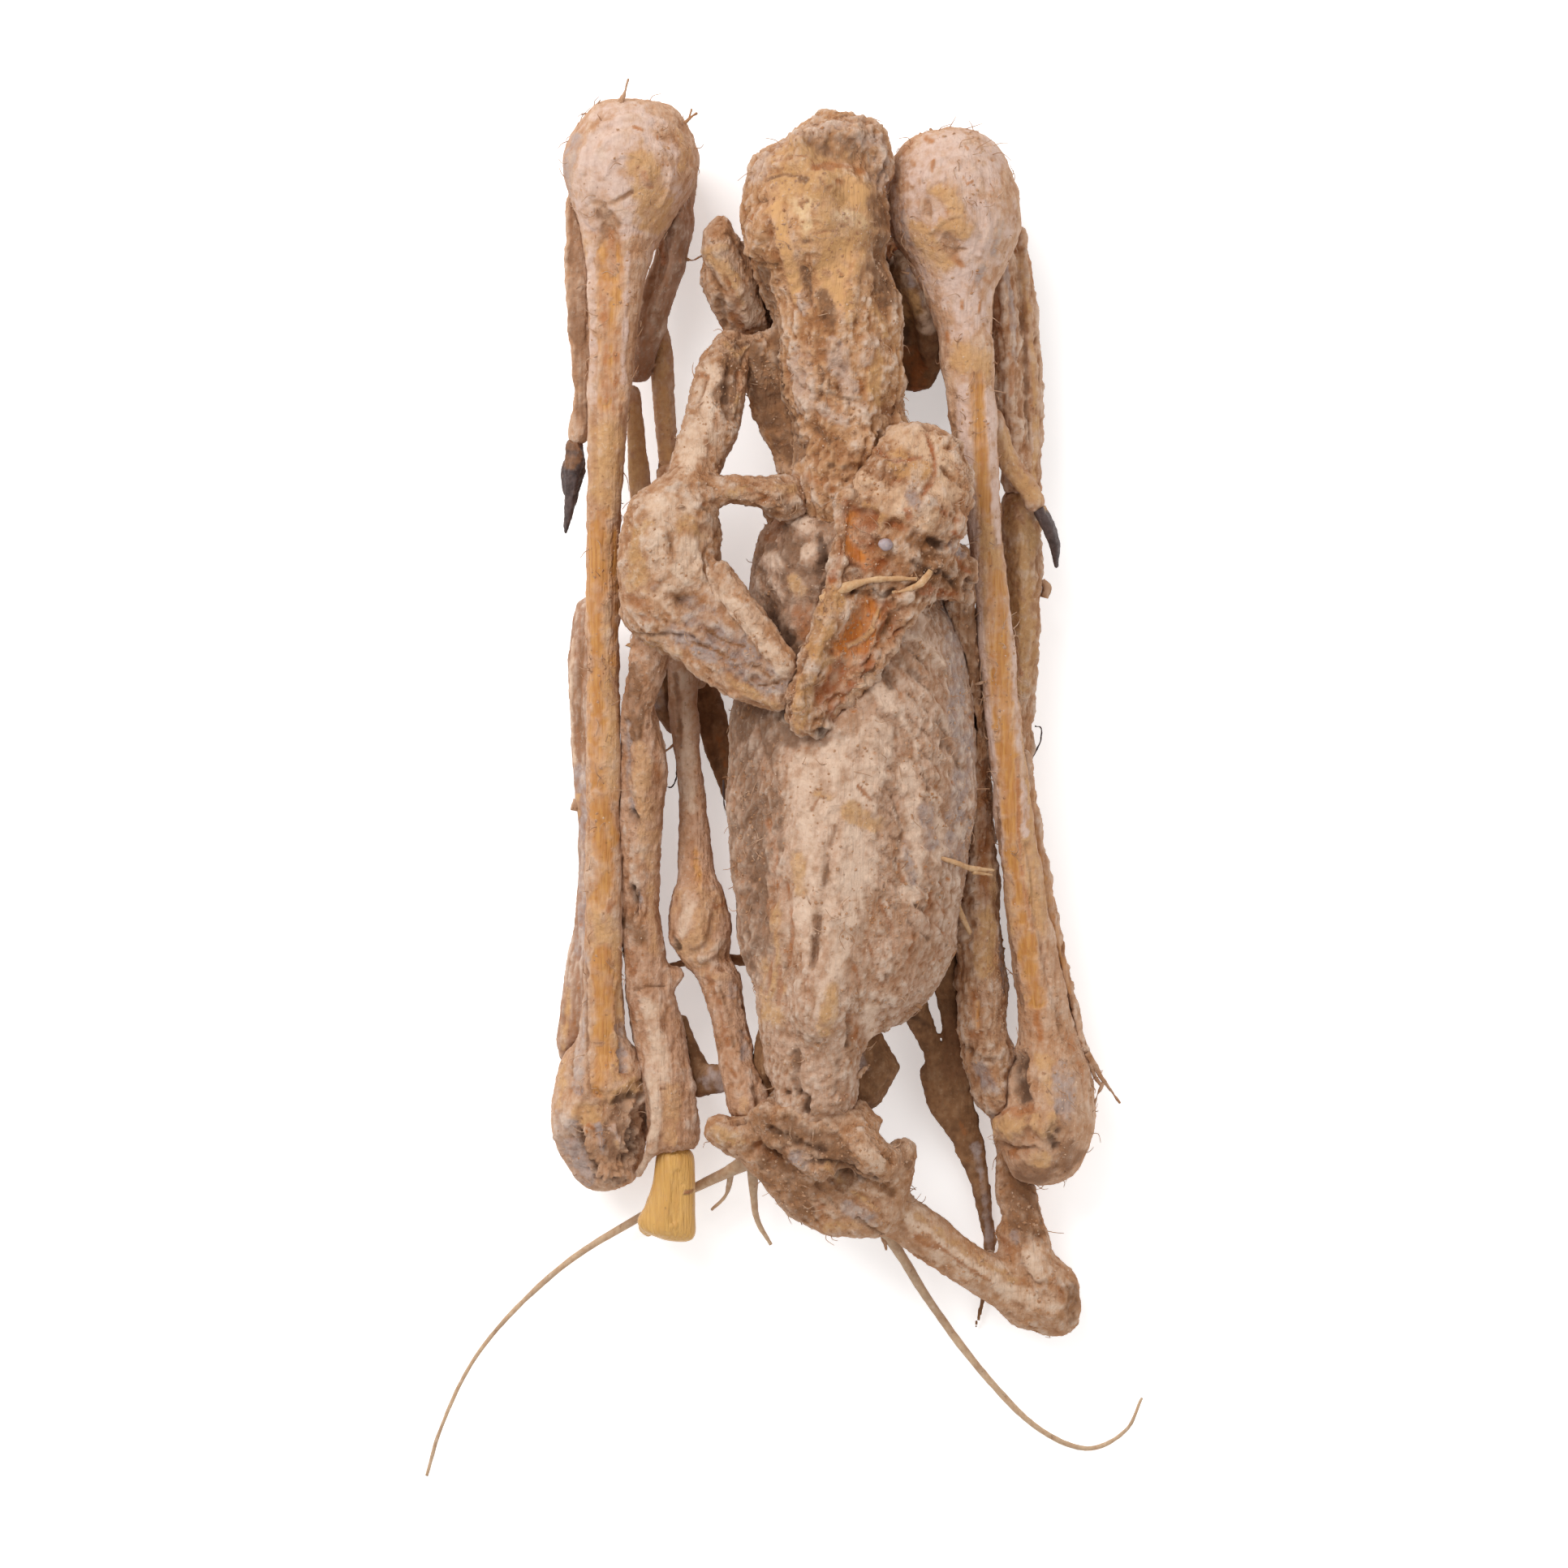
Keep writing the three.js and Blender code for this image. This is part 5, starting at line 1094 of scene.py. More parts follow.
pieces["shoulderLeft"] = {
    "nodes": ["scapula_left", "acromion_left", "clavicle_left"],
    "surface": {"lumps": (0.4, 4.5), "creases": (0.25, 2.6), "crumbs": (0.22, 1.0), "turns": (44, 44, 0)},
    "cords": [
        [(-26.6, 22.6, 26, 1), (-23, 22.8, 28, 1.2), (-19, 21.6, 29.6, 1), (-15, 20, 31, 0.8)],
        [(-3, 47.6, 32.4, 2), (1, 48.6, 32, 2.2), (4, 48, 31, 1.6)],
        [(0, 46, 32, 2.4), (2.4, 43.4, 30.4, 2), (3.4, 40.6, 29.6, 1)],
        [(-2.6, 46, 30.6, 1.4), (-2.4, 42, 29, 1)],
        [(-9.6, 71.4, 24, 1.8), (-6.4, 72, 24.4, 1.8), (-3, 73, 23, 1.6)],
    ],
    "strokes": [
        ("crust", 3, 0, (-22, 38), (-16, 33)),
        # collar bone
        ("cream", 2.4, 0, (-11.8, 66), (-12.6, 60), (-15.4, 53)),
        ("rust", 0.7, -0.1, (-14, 67), (-12.6, 66.6)),
        ("brown", 0.3, -0.5, (-13, 66), (-13.2, 64), (-13.8, 62.4)),
        ("rust", 0.5, -0.1, (-11, 60.4), (-11.4, 58)), ("rust", 0.6, -0.1, (-12.6, 56), (-12, 54.6)),
        # dark brown and painted shade in the recess between the collar bone and the neck
        ("brown", 2.4, -1.4, (-7.2, 71), (-7.6, 66.6), (-8.6, 62.6)),
        ("dark", 1, -0.4, (-8.8, 67.4), (-9.4, 63)), ("rust", 1, -0.2, (-6.4, 67.4), (-6.2, 64.6)),
        ("amber", 0.6, 0.4, (-6.8, 63.6), (-7.8, 61)),
        ("amber", 0.8, 0.3, (-9.6, 72.2), (-7, 70.6), (-5, 72)),
        # upper part of the blade
        ("groove", 0.5, -0.4, (-19, 48), (-15, 48.4), (-11, 49.4)), ("cream", 4.4, 0, (-20, 43), (-19, 35)),
        ("amber", 1.8, 0, (-22.6, 41.4), (-23.6, 36)), ("amber", 1.6, 0, (-16.4, 42), (-14.6, 40)),
        ("grey", 0.9, 0.3, (-18.4, 36.4), (-17.2, 35.6)), ("grey", 0.8, 0.2, (-20.2, 34.2), (-21.4, 32)),
        ("brown", 0.7, -0.3, (-18.6, 40), (-18.4, 37.6)),
        ("rust", 0.35, -0.3, (-13.2, 45.6), (-12, 46), (-10.6, 45.6)),
        ("brown", 0.4, -0.4, (-13.4, 45), (-12.6, 44.6)), ("brown", 0.4, -0.3, (-17.4, 45), (-16.4, 45)),
        ("rust", 0.8, 0, (-13.6, 36), (-12.8, 34)),
        # lower edge, with grey skin under it
        ("brown", 0.8, -0.5, (-18.6, 30.6), (-17, 29.6), (-14.6, 29.2)),
        ("brown", 1.3, -0.5, (-16.4, 30), (-14.4, 29)), ("rust", 1, -0.2, (-26, 31), (-22, 28.6)),
        ("rust", 0.5, -0.4, (-24, 27.4), (-20, 26.6), (-16, 25.8)),
        ("brown", 0.4, -0.6, (-27, 26.4), (-24.8, 24.6), (-20, 24.4), (-14.6, 24)),
        ("amber", 0.9, 0.3, (-26, 22.6), (-21, 22.8), (-17, 21.6)),
        ("dark", 0.9, -0.8, (-26.8, 20), (-25, 19.6)),
        ("grey", 3.2, -0.3, (-13.6, 27), (-9, 23), (-4.6, 19), (-1.6, 16.6)),
        ("grey", 1.8, -0.1, (-18, 24.6), (-12, 21.6)), ("crust", 3.4, 0, (-15, 25), (-8, 21), (-3, 17.6)),
        ("brown", 0.35, -0.4, (-15, 23), (-11, 21.6), (-8, 20)),
        ("brown", 0.35, -0.4, (-13, 25.4), (-9.6, 23.4), (-6.6, 22.6)),
        ("brown", 0.4, -0.5, (-6.6, 19.4), (-4.4, 19), (-1.4, 16.6)),
        ("brown", 0.3, -0.4, (-4, 16), (-1, 16.4)),
        ("cream", 1.2, 0.9, (-13.6, 35), (-10, 31), (-6, 26.4), (-2.4, 21.6), (0.6, 18.4)),
        ("rust", 0.4, 0, (-5.4, 23.6), (-4.4, 22)),
        # tip of the blade, then the strap to the neck
        ("amber", 1, 0.3, (-9, 17), (-4, 14), (-0.4, 13)), ("amber", 0.9, 0.2, (-9, 47.6), (-4.6, 48)),
        ("rust", 0.9, -0.1, (-3.6, 46), (-1, 46.4)), ("brown", 0.5, -0.4, (-6.6, 45.4), (-3.6, 45)),
        ("crust", 2.6, 0, (-4, 47.6), (3, 46)), ("brown", 1, -0.2, (-2.6, 45), (0.4, 46), (1.8, 43)),
        ("rust", 0.6, -0.3, (-5.6, 48), (-2.6, 46.6)), ("amber", 1, 0.2, (-1, 48.4), (1.6, 48.2)),
        ("amber", 2.2, 0, (-22.6, 41.4), (-23.4, 34)), ("cream", 1.6, 0.2, (-20.6, 40.6), (-20.2, 35)),
        ("cream", 1.8, 0.2, (-15.6, 39.4), (-16.4, 35)), ("amber", 1, 0.1, (-16.6, 42.6), (-14, 41)),
        ("brown", 0.4, -0.3, (-18.8, 40.6), (-18.2, 37)),
        ("brown", 0.35, -0.3, (-12.4, 39), (-13.4, 35.6), (-12, 32.4)),
    ],
}
pieces["shoulderRight"] = {
    "nodes": ["scapula_right"],
    "material": "shoulder",
    "surface": {
        "lumps": (0.7, 3.0),
        "creases": (0.55, 2.2),
        "crumbs": (0.3, 1.0),
        "pits": (0.2, 1.6),
        "turns": (-28, -28, 0),
    },
    "cords": [
        [(22, 32.6, 33.5, 1.6), (26, 31.4, 33, 1.8), (30.4, 30.4, 30, 1.2)],
        [(22, 35, 35, 2.2), (27, 34, 34, 2.2), (30, 35.6, 31, 1.4)],
        [(27, 38.4, 34, 1.8), (30.2, 36.4, 31, 1.4), (31, 33, 29, 1)],
        [(4, 8.4, 38, 1), (7.4, 8.2, 38, 1.3), (10.6, 7.4, 36.6, 1.2), (12, 6, 35.6, 0.8)],
    ],
    "strokes": [
        # knobbly joint
        ("amber", 3, 0.2, (10, 46), (14, 44)), ("lobe", 1.5, 0.8, (13, 50), (16, 52)),
        ("lobe", 1.6, 0.8, (23, 46), (25, 43)), ("rust", 0.8, -0.6, (12.4, 47.4), (17, 48.6), (20, 51.6)),
        ("rust", 0.7, -0.6, (16.6, 42.6), (21.4, 41)), ("brown", 2.6, -0.3, (22, 34), (26, 32.6), (29, 34)),
        ("dark", 0.9, -0.8, (21, 36.4), (24, 34.2)), ("dark", 0.8, -0.8, (25.6, 34.6), (28, 32.6)),
        ("rust", 1, 0.2, (23, 31.6), (28, 30.8)), ("rust", 0.7, 0.2, (28.6, 36.8), (30.4, 34.6)),
        ("cream", 1.6, 0.3, (11.4, 47.6), (14.6, 47.4)),
        ("cream", 2.8, 0.2, (17.6, 57), (23, 54.6), (26.6, 48)),
        ("cream", 2, 0, (13, 48), (18, 47), (23, 43.4)), ("amber", 1.8, 0.2, (18, 53), (22, 51)),
        ("rust", 0.5, -0.35, (14.6, 55), (18, 52.6), (22.6, 53.4)),
        ("rust", 0.5, -0.35, (23.4, 57), (24.6, 51), (22.4, 47)),
        ("brown", 0.5, -0.6, (25.6, 51.6), (29, 48.6)), ("rust", 0.8, -0.3, (26, 44.4), (28.4, 43)),
        ("grey", 1.2, 0.2, (20.6, 47), (21.4, 45.4)), ("cream", 1.3, 0.2, (17, 45.6), (20, 44)),
        ("rust", 0.7, -0.2, (19.6, 44.6), (20.8, 42.8)),
        # sunken orange patches where bone is bare
        ("rust", 3, -1.2, (11.6, 42.6), (11.4, 39), (13.6, 37.4)),
        ("bare", 1.6, -0.4, (11, 42.6), (10.8, 39), (13, 37.4)), ("rust", 1.2, -0.5, (10, 45.4), (9.8, 44)),
        ("rust", 1.4, -0.5, (13.6, 38.6), (15.6, 36.4)), ("rust", 1, -0.2, (9, 36.4), (8, 33.4)),
        ("brown", 1.4, -0.5, (21, 39.6), (24, 38)), ("dark", 0.9, -0.9, (24.6, 39.4), (25.6, 38.4)),
        ("rust", 0.6, 0.2, (27.6, 41), (28.4, 40.4)), ("grey", 1.2, 0, (28, 38.6), (29.6, 38)),
        ("dark", 0.6, -0.6, (11, 31.4), (13.6, 31)),
        ("dark", 0.7, -0.8, (14.4, 31.4), (16, 30.6), (18, 31.6)),
        ("rust", 3.4, -1.5, (15.4, 27), (12.6, 21), (8.6, 14.6)),
        ("bare", 2.3, -0.3, (13.6, 27.6), (11, 21.4), (8.4, 17.6)),
        ("amber", 0.5, 0.4, (15.4, 28.4), (13.4, 24.6), (11, 22.4)),
        ("rust", 1.8, -0.5, (10, 19), (7, 14.6)), ("rust", 1.1, -0.4, (17.4, 25), (13.6, 17.6)),
        ("brown", 0.5, -0.4, (18, 27), (16.4, 21.6), (13.6, 16.6)),
        ("amber", 1.7, 0.4, (8.6, 29.6), (6, 25), (5, 21)), ("amber", 0.7, 0.3, (6.2, 19.4), (8, 20.2)),
        ("amber", 1.4, 0.3, (4, 17), (2, 10)), ("groove", 0.5, -0.6, (7.4, 30), (4.4, 21), (2.6, 15)),
        # tip of the blade
        ("cream", 0.9, 0.4, (14.6, 17), (12, 14), (9.6, 11)), ("brown", 0.8, -0.4, (-0.4, 13), (0.6, 8)),
        ("dark", 0.9, -0.8, (5.6, 8.4), (8, 8.4)),
    ],
}
pieces["trunk"] = {
    "nodes": ["backbone", "rib_cage_left", "rib_cage_right", "sternum", "lumbar"],
    "material": "trunk",
    "voxel": 0.42,
    "coarse": 0.9,
    "soften": 14,
    "surface": {
        "lumps": (0.25, 7.0),
        "creases": (0.12, 2.0),
        "crumbs": (0.16, 0.8),
        "fibres": (0.32, 0.8, 8.0),
        "pits": (0.12, 1.2),
        "turns": (-20, 24, 8),
    },
    "cords": [
        [(16, -27, 30, 6), (17, -33, 29, 4.6), (16.4, -37, 28, 2.6), (16, -41, 27, 1.4)],
        [(20.6, -24, 26, 5), (21, -30, 25, 4), (19.6, -34, 25, 2.4)],
        [(2, -22, 29, 6.4), (1.4, -32, 28, 5.2), (1.4, -40, 27, 4), (1.6, -50, 26, 3.6)],
        [(9, -26, 32, 6.4), (8.4, -36, 30, 5.6), (8, -46, 29, 4), (7, -54, 28, 3.2)],
        [(12, -38, 29, 2.6), (12.4, -44, 27, 1.6)],
        [(-0.4, -28, 27, 4.8), (-0.6, -38, 26, 4), (0, -48, 24, 3.4)],
    ],
    "strokes": [
        *ribs,
        # dark, crumbly upper back
        ("crust", 5.4, 0, (1, 43), (1.6, 34), (2, 24)), ("brown", 4.6, -0.2, (1, 43), (1.6, 34), (2, 24)),
        ("brown", 1.2, -0.3, (-2.6, 45), (-2.4, 39)), ("cream", 1.3, 0.5, (4.6, 38.4), (3.4, 37)),
        ("cream", 1, 0.4, (-1.6, 33.4), (-0.6, 31)), ("cream", 1.6, 0.5, (2.4, 43), (3.6, 41.4)),
        ("cream", 1.2, 0.4, (-2, 37), (-1, 35.6)), ("amber", 1.2, 0.4, (1.6, 33), (2.6, 31.6)),
        ("rust", 1.6, -0.4, (-2.4, 44), (-2.4, 41)), ("rust", 1.4, 0, (2.6, 28), (4, 24)),
        ("dark", 1.3, -0.4, (-3.6, 28), (-2, 24), (0, 23.4)), ("dark", 1, -0.4, (6, 40), (5.6, 34)),
        ("dark", 1.2, -0.6, (7.6, 36), (7, 30)), ("dark", 2, -0.3, (-4, 15), (1, 9.6)),
        # brown left flank
        ("brown", 3.2, -0.2, (-7.4, 14), (-6, 2), (-5, -8), (-4.6, -20), (-3, -30)),
        ("brown", 2.2, -0.1, (-3.6, 12), (-2.4, 2), (-1.8, -6)),
        ("rust", 1.2, -0.2, (-5, -14), (-3.6, -26)), ("brown", 1.6, -0.2, (-1.4, 2), (-1.4, -12)),
        ("grey", 1.2, 0, (-5, 4), (-4.6, -6)), ("brown", 0.9, -0.2, (27.6, 14), (29, 2), (28, -8)),
        ("cream", 1.6, 0, (20, 2), (21.6, -8), (20.6, -18)), ("cream", 1.2, 0, (24.6, -2), (25, -12)),
        ("rust", 0.5, -0.3, (13, -23), (14.4, -28)), ("rust", 0.5, -0.3, (24, -18), (23, -24)),
        ("brown", 1.8, -0.4, (-0.6, 8), (4.6, 6.6), (9, 6)), ("rust", 0.8, 0.2, (3, 6), (7, 5.2)),
        # pale middle of the back
        ("calm", 4.6, 0, (3.4, 3), (3.6, -12), (3, -24)),
        ("calm", 4.4, 0.2, (14, 8), (12, -6), (11.4, -16), (8.6, -30)),
        ("cream", 5.6, 0, (8, 1), (8, -12), (6, -24)), ("cream", 2.6, 0, (2.6, 2.6), (6.6, 1.4)),
        ("cream", 2.4, 0.2, (3, 0), (3.4, -8), (3.6, -16), (2.8, -21)),
        ("cream", 2.5, 0.4, (15, 8), (13.6, 3), (12.4, -5), (12, -13), (10.4, -21)),
        ("cream", 1.7, 0.3, (10.4, -21), (8.6, -29), (6.8, -37)), ("amber", 0.9, 0, (5, -1.6), (7.4, -2.4)),
        ("amber", 1.3, 0, (10.6, -4.6), (14.6, -6.6)), ("amber", 1.2, 0, (2.4, -12), (3, -17)),
        ("cream", 0.7, 0.2, (18, 12), (22, 6)), ("cream", 1, 0.6, (19.6, 25), (23, 22.6), (25.4, 20)),
        ("cream", 0.9, 0.6, (20.4, 28.6), (22.8, 26.6)), ("cream", 1.4, 0.3, (15.4, 16), (17, 13)),
        # furrow beside the spine, then small stains, and painted shade down the right side
        ("groove", 1, -0.7, (8.4, -5), (7.6, -12), (6.4, -20), (5, -28)),
        ("brown", 0.5, -0.3, (8.4, -7), (7.6, -10)), ("brown", 0.5, -0.3, (7.2, -12), (6.4, -16.6)),
        ("brown", 0.7, -0.4, (5.4, -22), (4.6, -30)),
        ("amber", 1.8, 0, (-2.4, -20), (-2, -30), (-1.4, -38)),
        ("rust", 0.6, -0.3, (-3.4, -24), (-1.6, -17.6)), ("rust", 0.5, -0.3, (-2, -20), (-0.6, -15.4)),
        ("rust", 0.6, -0.3, (-3, -34), (-2, -27)), ("brown", 0.7, -0.3, (9, -44), (8.6, -51)),
        ("crust", 3, 0, (24, -4), (22, -16), (20, -28)), ("crust", 3, 0, (2, -42), (7, -52)),
        ("rust", 0.35, -0.1, (12, -0.4), (14, -2.6)), ("rust", 0.3, -0.1, (6, -2), (4.6, -4)),
        ("rust", 0.4, 0, (13.3, -11.4)), ("rust", 0.4, 0, (4.6, -4.1)),
        # the first grey band, down the right side, is painted shade
        ("grey", 2, 0, (28, 28), (28.6, 16), (29.4, 2), (28, -12)), ("grey", 1.1, 0, (23, -4), (24, -10)),
        ("grey", 0.9, 0, (19.6, -10), (21, -16)), ("brown", 1, -0.4, (15.6, 18.6), (17.4, 16)),
        ("brown", 0.7, -0.4, (20.4, 18.6), (22.4, 16.8)), ("brown", 1, -0.4, (25.4, 10), (27, 6), (29, 3)),
        ("brown", 0.3, -0.3, (19.9, -1.6)), ("brown", 0.35, -0.4, (16.3, -16.4), (16.7, -17.3)),
        ("brown", 0.25, -0.3, (22, 17)), ("rust", 0.5, -0.3, (18, -11), (19.4, -16)),
        ("rust", 0.5, -0.3, (15.6, -19), (17.6, -23.4)), ("rust", 0.6, -0.2, (21.4, -24), (20.6, -29)),
        ("rust", 0.9, -0.2, (-1.4, -15), (-3.6, -22)), ("rust", 0.7, -0.2, (-0.6, -30), (-1, -36)),
        ("rust", 0.5, -0.3, (11, -29), (12.6, -33)), ("brown", 0.4, -0.5, (4.6, -25), (4.4, -29)),
        ("brown", 0.35, -0.4, (0.4, -30.2), (-0.4, -30)), ("brown", 0.5, -0.4, (16.6, -31.6), (17, -32.6)),
        # lower back
        ("amber", 1.2, 0.1, (8, -33), (6.6, -40)), ("cream", 1.4, 0.3, (14, -37), (14.4, -41)),
        ("brown", 0.5, -0.8, (10.6, -37), (10.6, -43)), ("rust", 0.9, -0.1, (11, -38), (12, -42)),
        ("brown", 1, -0.3, (2, -44), (1.6, -50)), ("dark", 0.6, -0.8, (0.4, -50.6), (3.4, -51), (3.6, -54)),
        ("rust", 0.8, 0, (9, -51), (11.6, -52.4)), ("brown", 2.2, -0.1, (-5.4, 6), (-4.8, -8), (-4, -26)),
        ("brown", 0.5, -0.3, (-2.6, 4), (-1.4, -2), (-2, -10)),
        ("rust", 0.5, -0.2, (-3, -6), (-1.4, -12), (-2, -18)),
        ("rust", 0.4, -0.2, (0.4, -16), (1.4, -23), (0.6, -30)),
        ("brown", 0.35, -0.3, (17.6, -2), (19, -8), (18, -14)), ("brown", 0.35, -0.3, (22, 4), (23.6, -1)),
    ],
}
pieces["pelvisAndLegRight"] = {
    "nodes": ["pelvis", "sacrum", "femur_right", "knee_right", "tibia_right", "foot_right"],
    "surface": {"lumps": (0.3, 4.2), "creases": (0.18, 2.4), "crumbs": (0.16, 0.9), "turns": (50, 50, 0)},
    "cords": [
        [(-4.6, -53.6, 23, 3), (-1, -56.4, 25, 4.2), (4, -59, 26, 4.6), (9, -62, 25.6, 4)],
        [(-0.6, -53, 26, 3), (3, -57, 27, 3.4), (2, -62, 25, 3)],
        [(6, -53, 26, 3.6), (9, -58, 26, 3.6), (12, -62, 25, 3)],
        [(11, -58, 28.6, 3), (14, -61, 28.6, 2.6), (16.4, -62.4, 27, 1.8)],
        [(13, -55.6, 25, 0.9), (15.4, -56, 25, 0.4)],
        [(10.4, -49.6, 28, 0.9), (13, -47, 27.4, 1), (14.8, -45.4, 26.6, 0.7)],
    ],
    "strokes": [
        # pelvis
        ("crust", 6, 0, (-5, -57), (4, -61), (13, -64)), ("brown", 3, 0, (-2, -60), (1, -65), (3, -69)),
        ("brown", 2.2, -0.5, (-3.4, -55.8), (2, -57.6), (7, -59.4), (10.4, -62.4)),
        ("dark", 0.8, -0.7, (-3, -56.4), (2, -58.4), (6.4, -60)),
        ("dark", 0.7, -0.7, (5, -62), (8.6, -62.6), (11, -64)), ("rust", 0.7, -0.5, (0, -60), (4.4, -62.4)),
        ("dark", 0.9, -0.8, (9, -63.4), (12, -64.2), (15, -65)), ("calm", 4, 0, (19, -69), (38, -83)),
        ("rust", 1, -0.9, (-4.6, -59.6), (-1, -62)), ("dark", 0.6, -1.0, (-3.4, -60.2), (-1, -62)),
        ("rust", 0.7, -0.5, (-8.6, -56), (-7, -55.2)), ("brown", 0.5, -0.5, (-7.6, -55.4), (-6.6, -55.6)),
        ("amber", 1.2, 0.3, (-11, -57), (-8, -58.4)), ("grey", 1.2, 0, (1.4, -61.6), (3.4, -61.8)),
        ("ridge", 0.5, 0.5, (4.6, -63), (8.6, -67), (14, -70.6)),
        ("amber", 0.7, 0.5, (7, -62.8), (11, -66.6), (15.4, -70)),
        ("cream", 0.7, 0.4, (10, -66.2), (16, -67), (18.4, -65)),
        ("brown", 0.4, -0.5, (5.4, -65.6), (9, -69.6)), ("brown", 1.8, -0.1, (1.6, -66), (3, -70.6)),
        ("rust", 0.8, -0.2, (5.6, -69), (6.6, -71)), ("grey", 1.2, -0.1, (10.6, -69.8), (14.6, -71.4)),
        ("amber", 0.8, 0.1, (7, -73), (12.6, -72.6)), ("brown", 0.4, -0.5, (12, -71.6), (16.6, -74.6)),
        ("brown", 0.9, -0.5, (16.4, -66.2), (17.8, -67)), ("cream", 1.4, 0.3, (12.6, -60), (15.6, -62.4)),
        ("brown", 0.5, -0.6, (16.6, -60.6), (18, -62)), ("brown", 1, 0, (19, -59.4), (20.4, -62.6)),
        # right thigh, knee and shin
        ("cream", 2, 0, (21, -71.4), (27, -77), (34, -81), (40, -85)),
        ("rust", 1, 0, (22, -74.4), (24.6, -76)), ("rust", 0.8, 0, (37.6, -81.6), (39.6, -82.4)),
        ("amber", 0.8, 0, (22, -71), (30, -77), (38, -82)),
        ("rust", 0.5, -0.1, (24, -75), (30, -79.6), (34, -82)), ("cream", 1.8, 0, (41, -86), (44, -85.6)),
        ("rust", 1, 0, (45, -83.6), (46, -85)), ("brown", 1.3, -0.1, (48, -84), (47.6, -88)),
        ("brown", 2.8, -0.1, (39, -66.6), (40.4, -73)), ("brown", 0.35, -0.4, (39.8, -75.3), (41.4, -75.1)),
        ("brown", 0.35, -0.5, (42.6, -74.6), (40, -74.4), (38, -73.8)),
        ("cream", 1.6, 0, (41, -78), (42, -81)),
        ("groove", 0.5, -0.6, (38.4, -76), (39.4, -80), (41.6, -82.4), (44, -82.6)),
        ("rust", 0.8, 0, (36, -75), (37.6, -78)), ("grey", 0.7, 0.1, (38, -74.4), (38.4, -75.6)),
    ],
}
pieces["legLeft"] = {
    "nodes": ["femur_left", "knee_left", "tibia_left", "foot_left"],
    "coarse": 0.6,
    "material": "pale",
    "voxel": 0.33,
    "surface": {
        "lumps": (0.2, 4.5),
        "creases": (0.12, 2.6),
        "fibres": (0.2, 0.8, 12.0),
        "crumbs": (0.12, 0.9),
    },
    "strokes": [
        # thigh
        ("calm", 3, 0, (-17, 20), (-15, -16)), ("cream", 1.4, 0, (-16.8, 18), (-16, 4), (-15.4, -4)),
        ("brown", 0.7, -0.1, (-17.8, 18), (-17, 6)), ("rust", 0.8, -0.1, (-15, -9.6), (-14.6, -18)),
        ("bare", 0.9, 0, (-14.6, -10.4), (-14, -17.6)),
        # knee
        ("amber", 3.4, 0, (-14, -20), (-14, -26)), ("cream", 1.2, 0.2, (-15.6, -19), (-16.6, -24)),
        ("groove", 0.6, -0.5, (-11.6, -22), (-12.6, -26), (-15, -28)),
        ("cream", 0.8, 0.5, (-10.4, -25.4), (-12, -28), (-13.4, -28.6)),
        ("rust", 0.6, 0, (-11.4, -20.2), (-10, -20)), ("dark", 0.7, -0.4, (-18.4, -25.4), (-17.6, -27)),
        # shin and foot
        ("amber", 0.7, 0.3, (-13.6, -31), (-11, -31.8), (-9, -32)),
        ("rust", 0.7, -0.2, (-12.4, -32), (-10.6, -37), (-9.4, -43)),
        ("brown", 0.5, -0.3, (-10.6, -33.4), (-9, -38), (-8.2, -43)),
        ("grey", 0.9, 0, (-8.6, -33), (-8.4, -35)), ("grey", 0.9, -0.2, (-6.6, -41), (-6.4, -45)),
        ("rust", 0.6, 0, (-9.4, -46), (-8, -48)), ("brown", 0.5, -0.5, (-5, -50), (-4, -53)),
        ("amber", 1, 0.1, (-7, -52), (-6, -55)),
    ],
}
pieces["flapLeft"] = {
    "nodes": ["wing_skin_left"],
    "coarse": 0.42,
    "material": "flap",
    "slot": "dark_skin",
    "surface": {**boneLike, "lumps": (0.4, 5.0)},
    "strokes": [
        ("brown", 1.2, -0.3, (-20.4, 91), (-20.4, 86), (-22.4, 80), (-24, 75)),
        ("grey", 1, 0.1, (-17.6, 99.4), (-16.6, 96)), ("rust", 0.5, -0.1, (-20.4, 90), (-20.2, 86)),
        ("cream", 0.5, 0.2, (-23.6, 86), (-24, 78)), ("brown", 0.6, -0.2, (-21.6, 84), (-22.6, 79)),
    ],
}
pieces["deepSkins"] = {
    "nodes": ["wing_fold_left", "last_finger_left", "neck_skin_right", "leg_cord_left"],
    "coarse": 0.46,
    "voxel": 0.42,
    "material": "skin",
    "slot": "dark_skin",
    "swell": 0.15,
    "soften": 5,
    # a little painted shade over the whole of these deep skins
    "all": {"dark": 0.15},
    "surface": {**boneLike, "lumps": (0.25, 4.0)},
    "cords": [
        [(19, 88, 21, 1.4), (21.8, 82, 20, 2.4), (23.6, 76, 17.6, 2.2), (24, 68, 12, 1.2)],
        [(17.6, 82, 14, 1.6), (19.6, 74, 11, 2.6), (20, 66, 10, 1.6)],
    ],
    "strokes": [
        ("cream", 2.6, 0, (20, 87), (22.6, 81), (24, 77)), ("grey", 1, 0, (20.4, 84), (22.4, 79)),
        # the dark below the neck skin is a painted shadow in the hollow
        ("amber", 1.6, 0, (20.4, 80), (20.2, 76)), ("dark", 1.8, -0.3, (20, 76), (19, 71)),
        ("rust", 1.4, 0, (21, 71), (22, 66)), ("grey", 1.6, 0, (-23.4, 19), (-20.6, 14)),
        ("rust", 0.6, 0, (-11, 8), (-9.6, 3)),
    ],
}
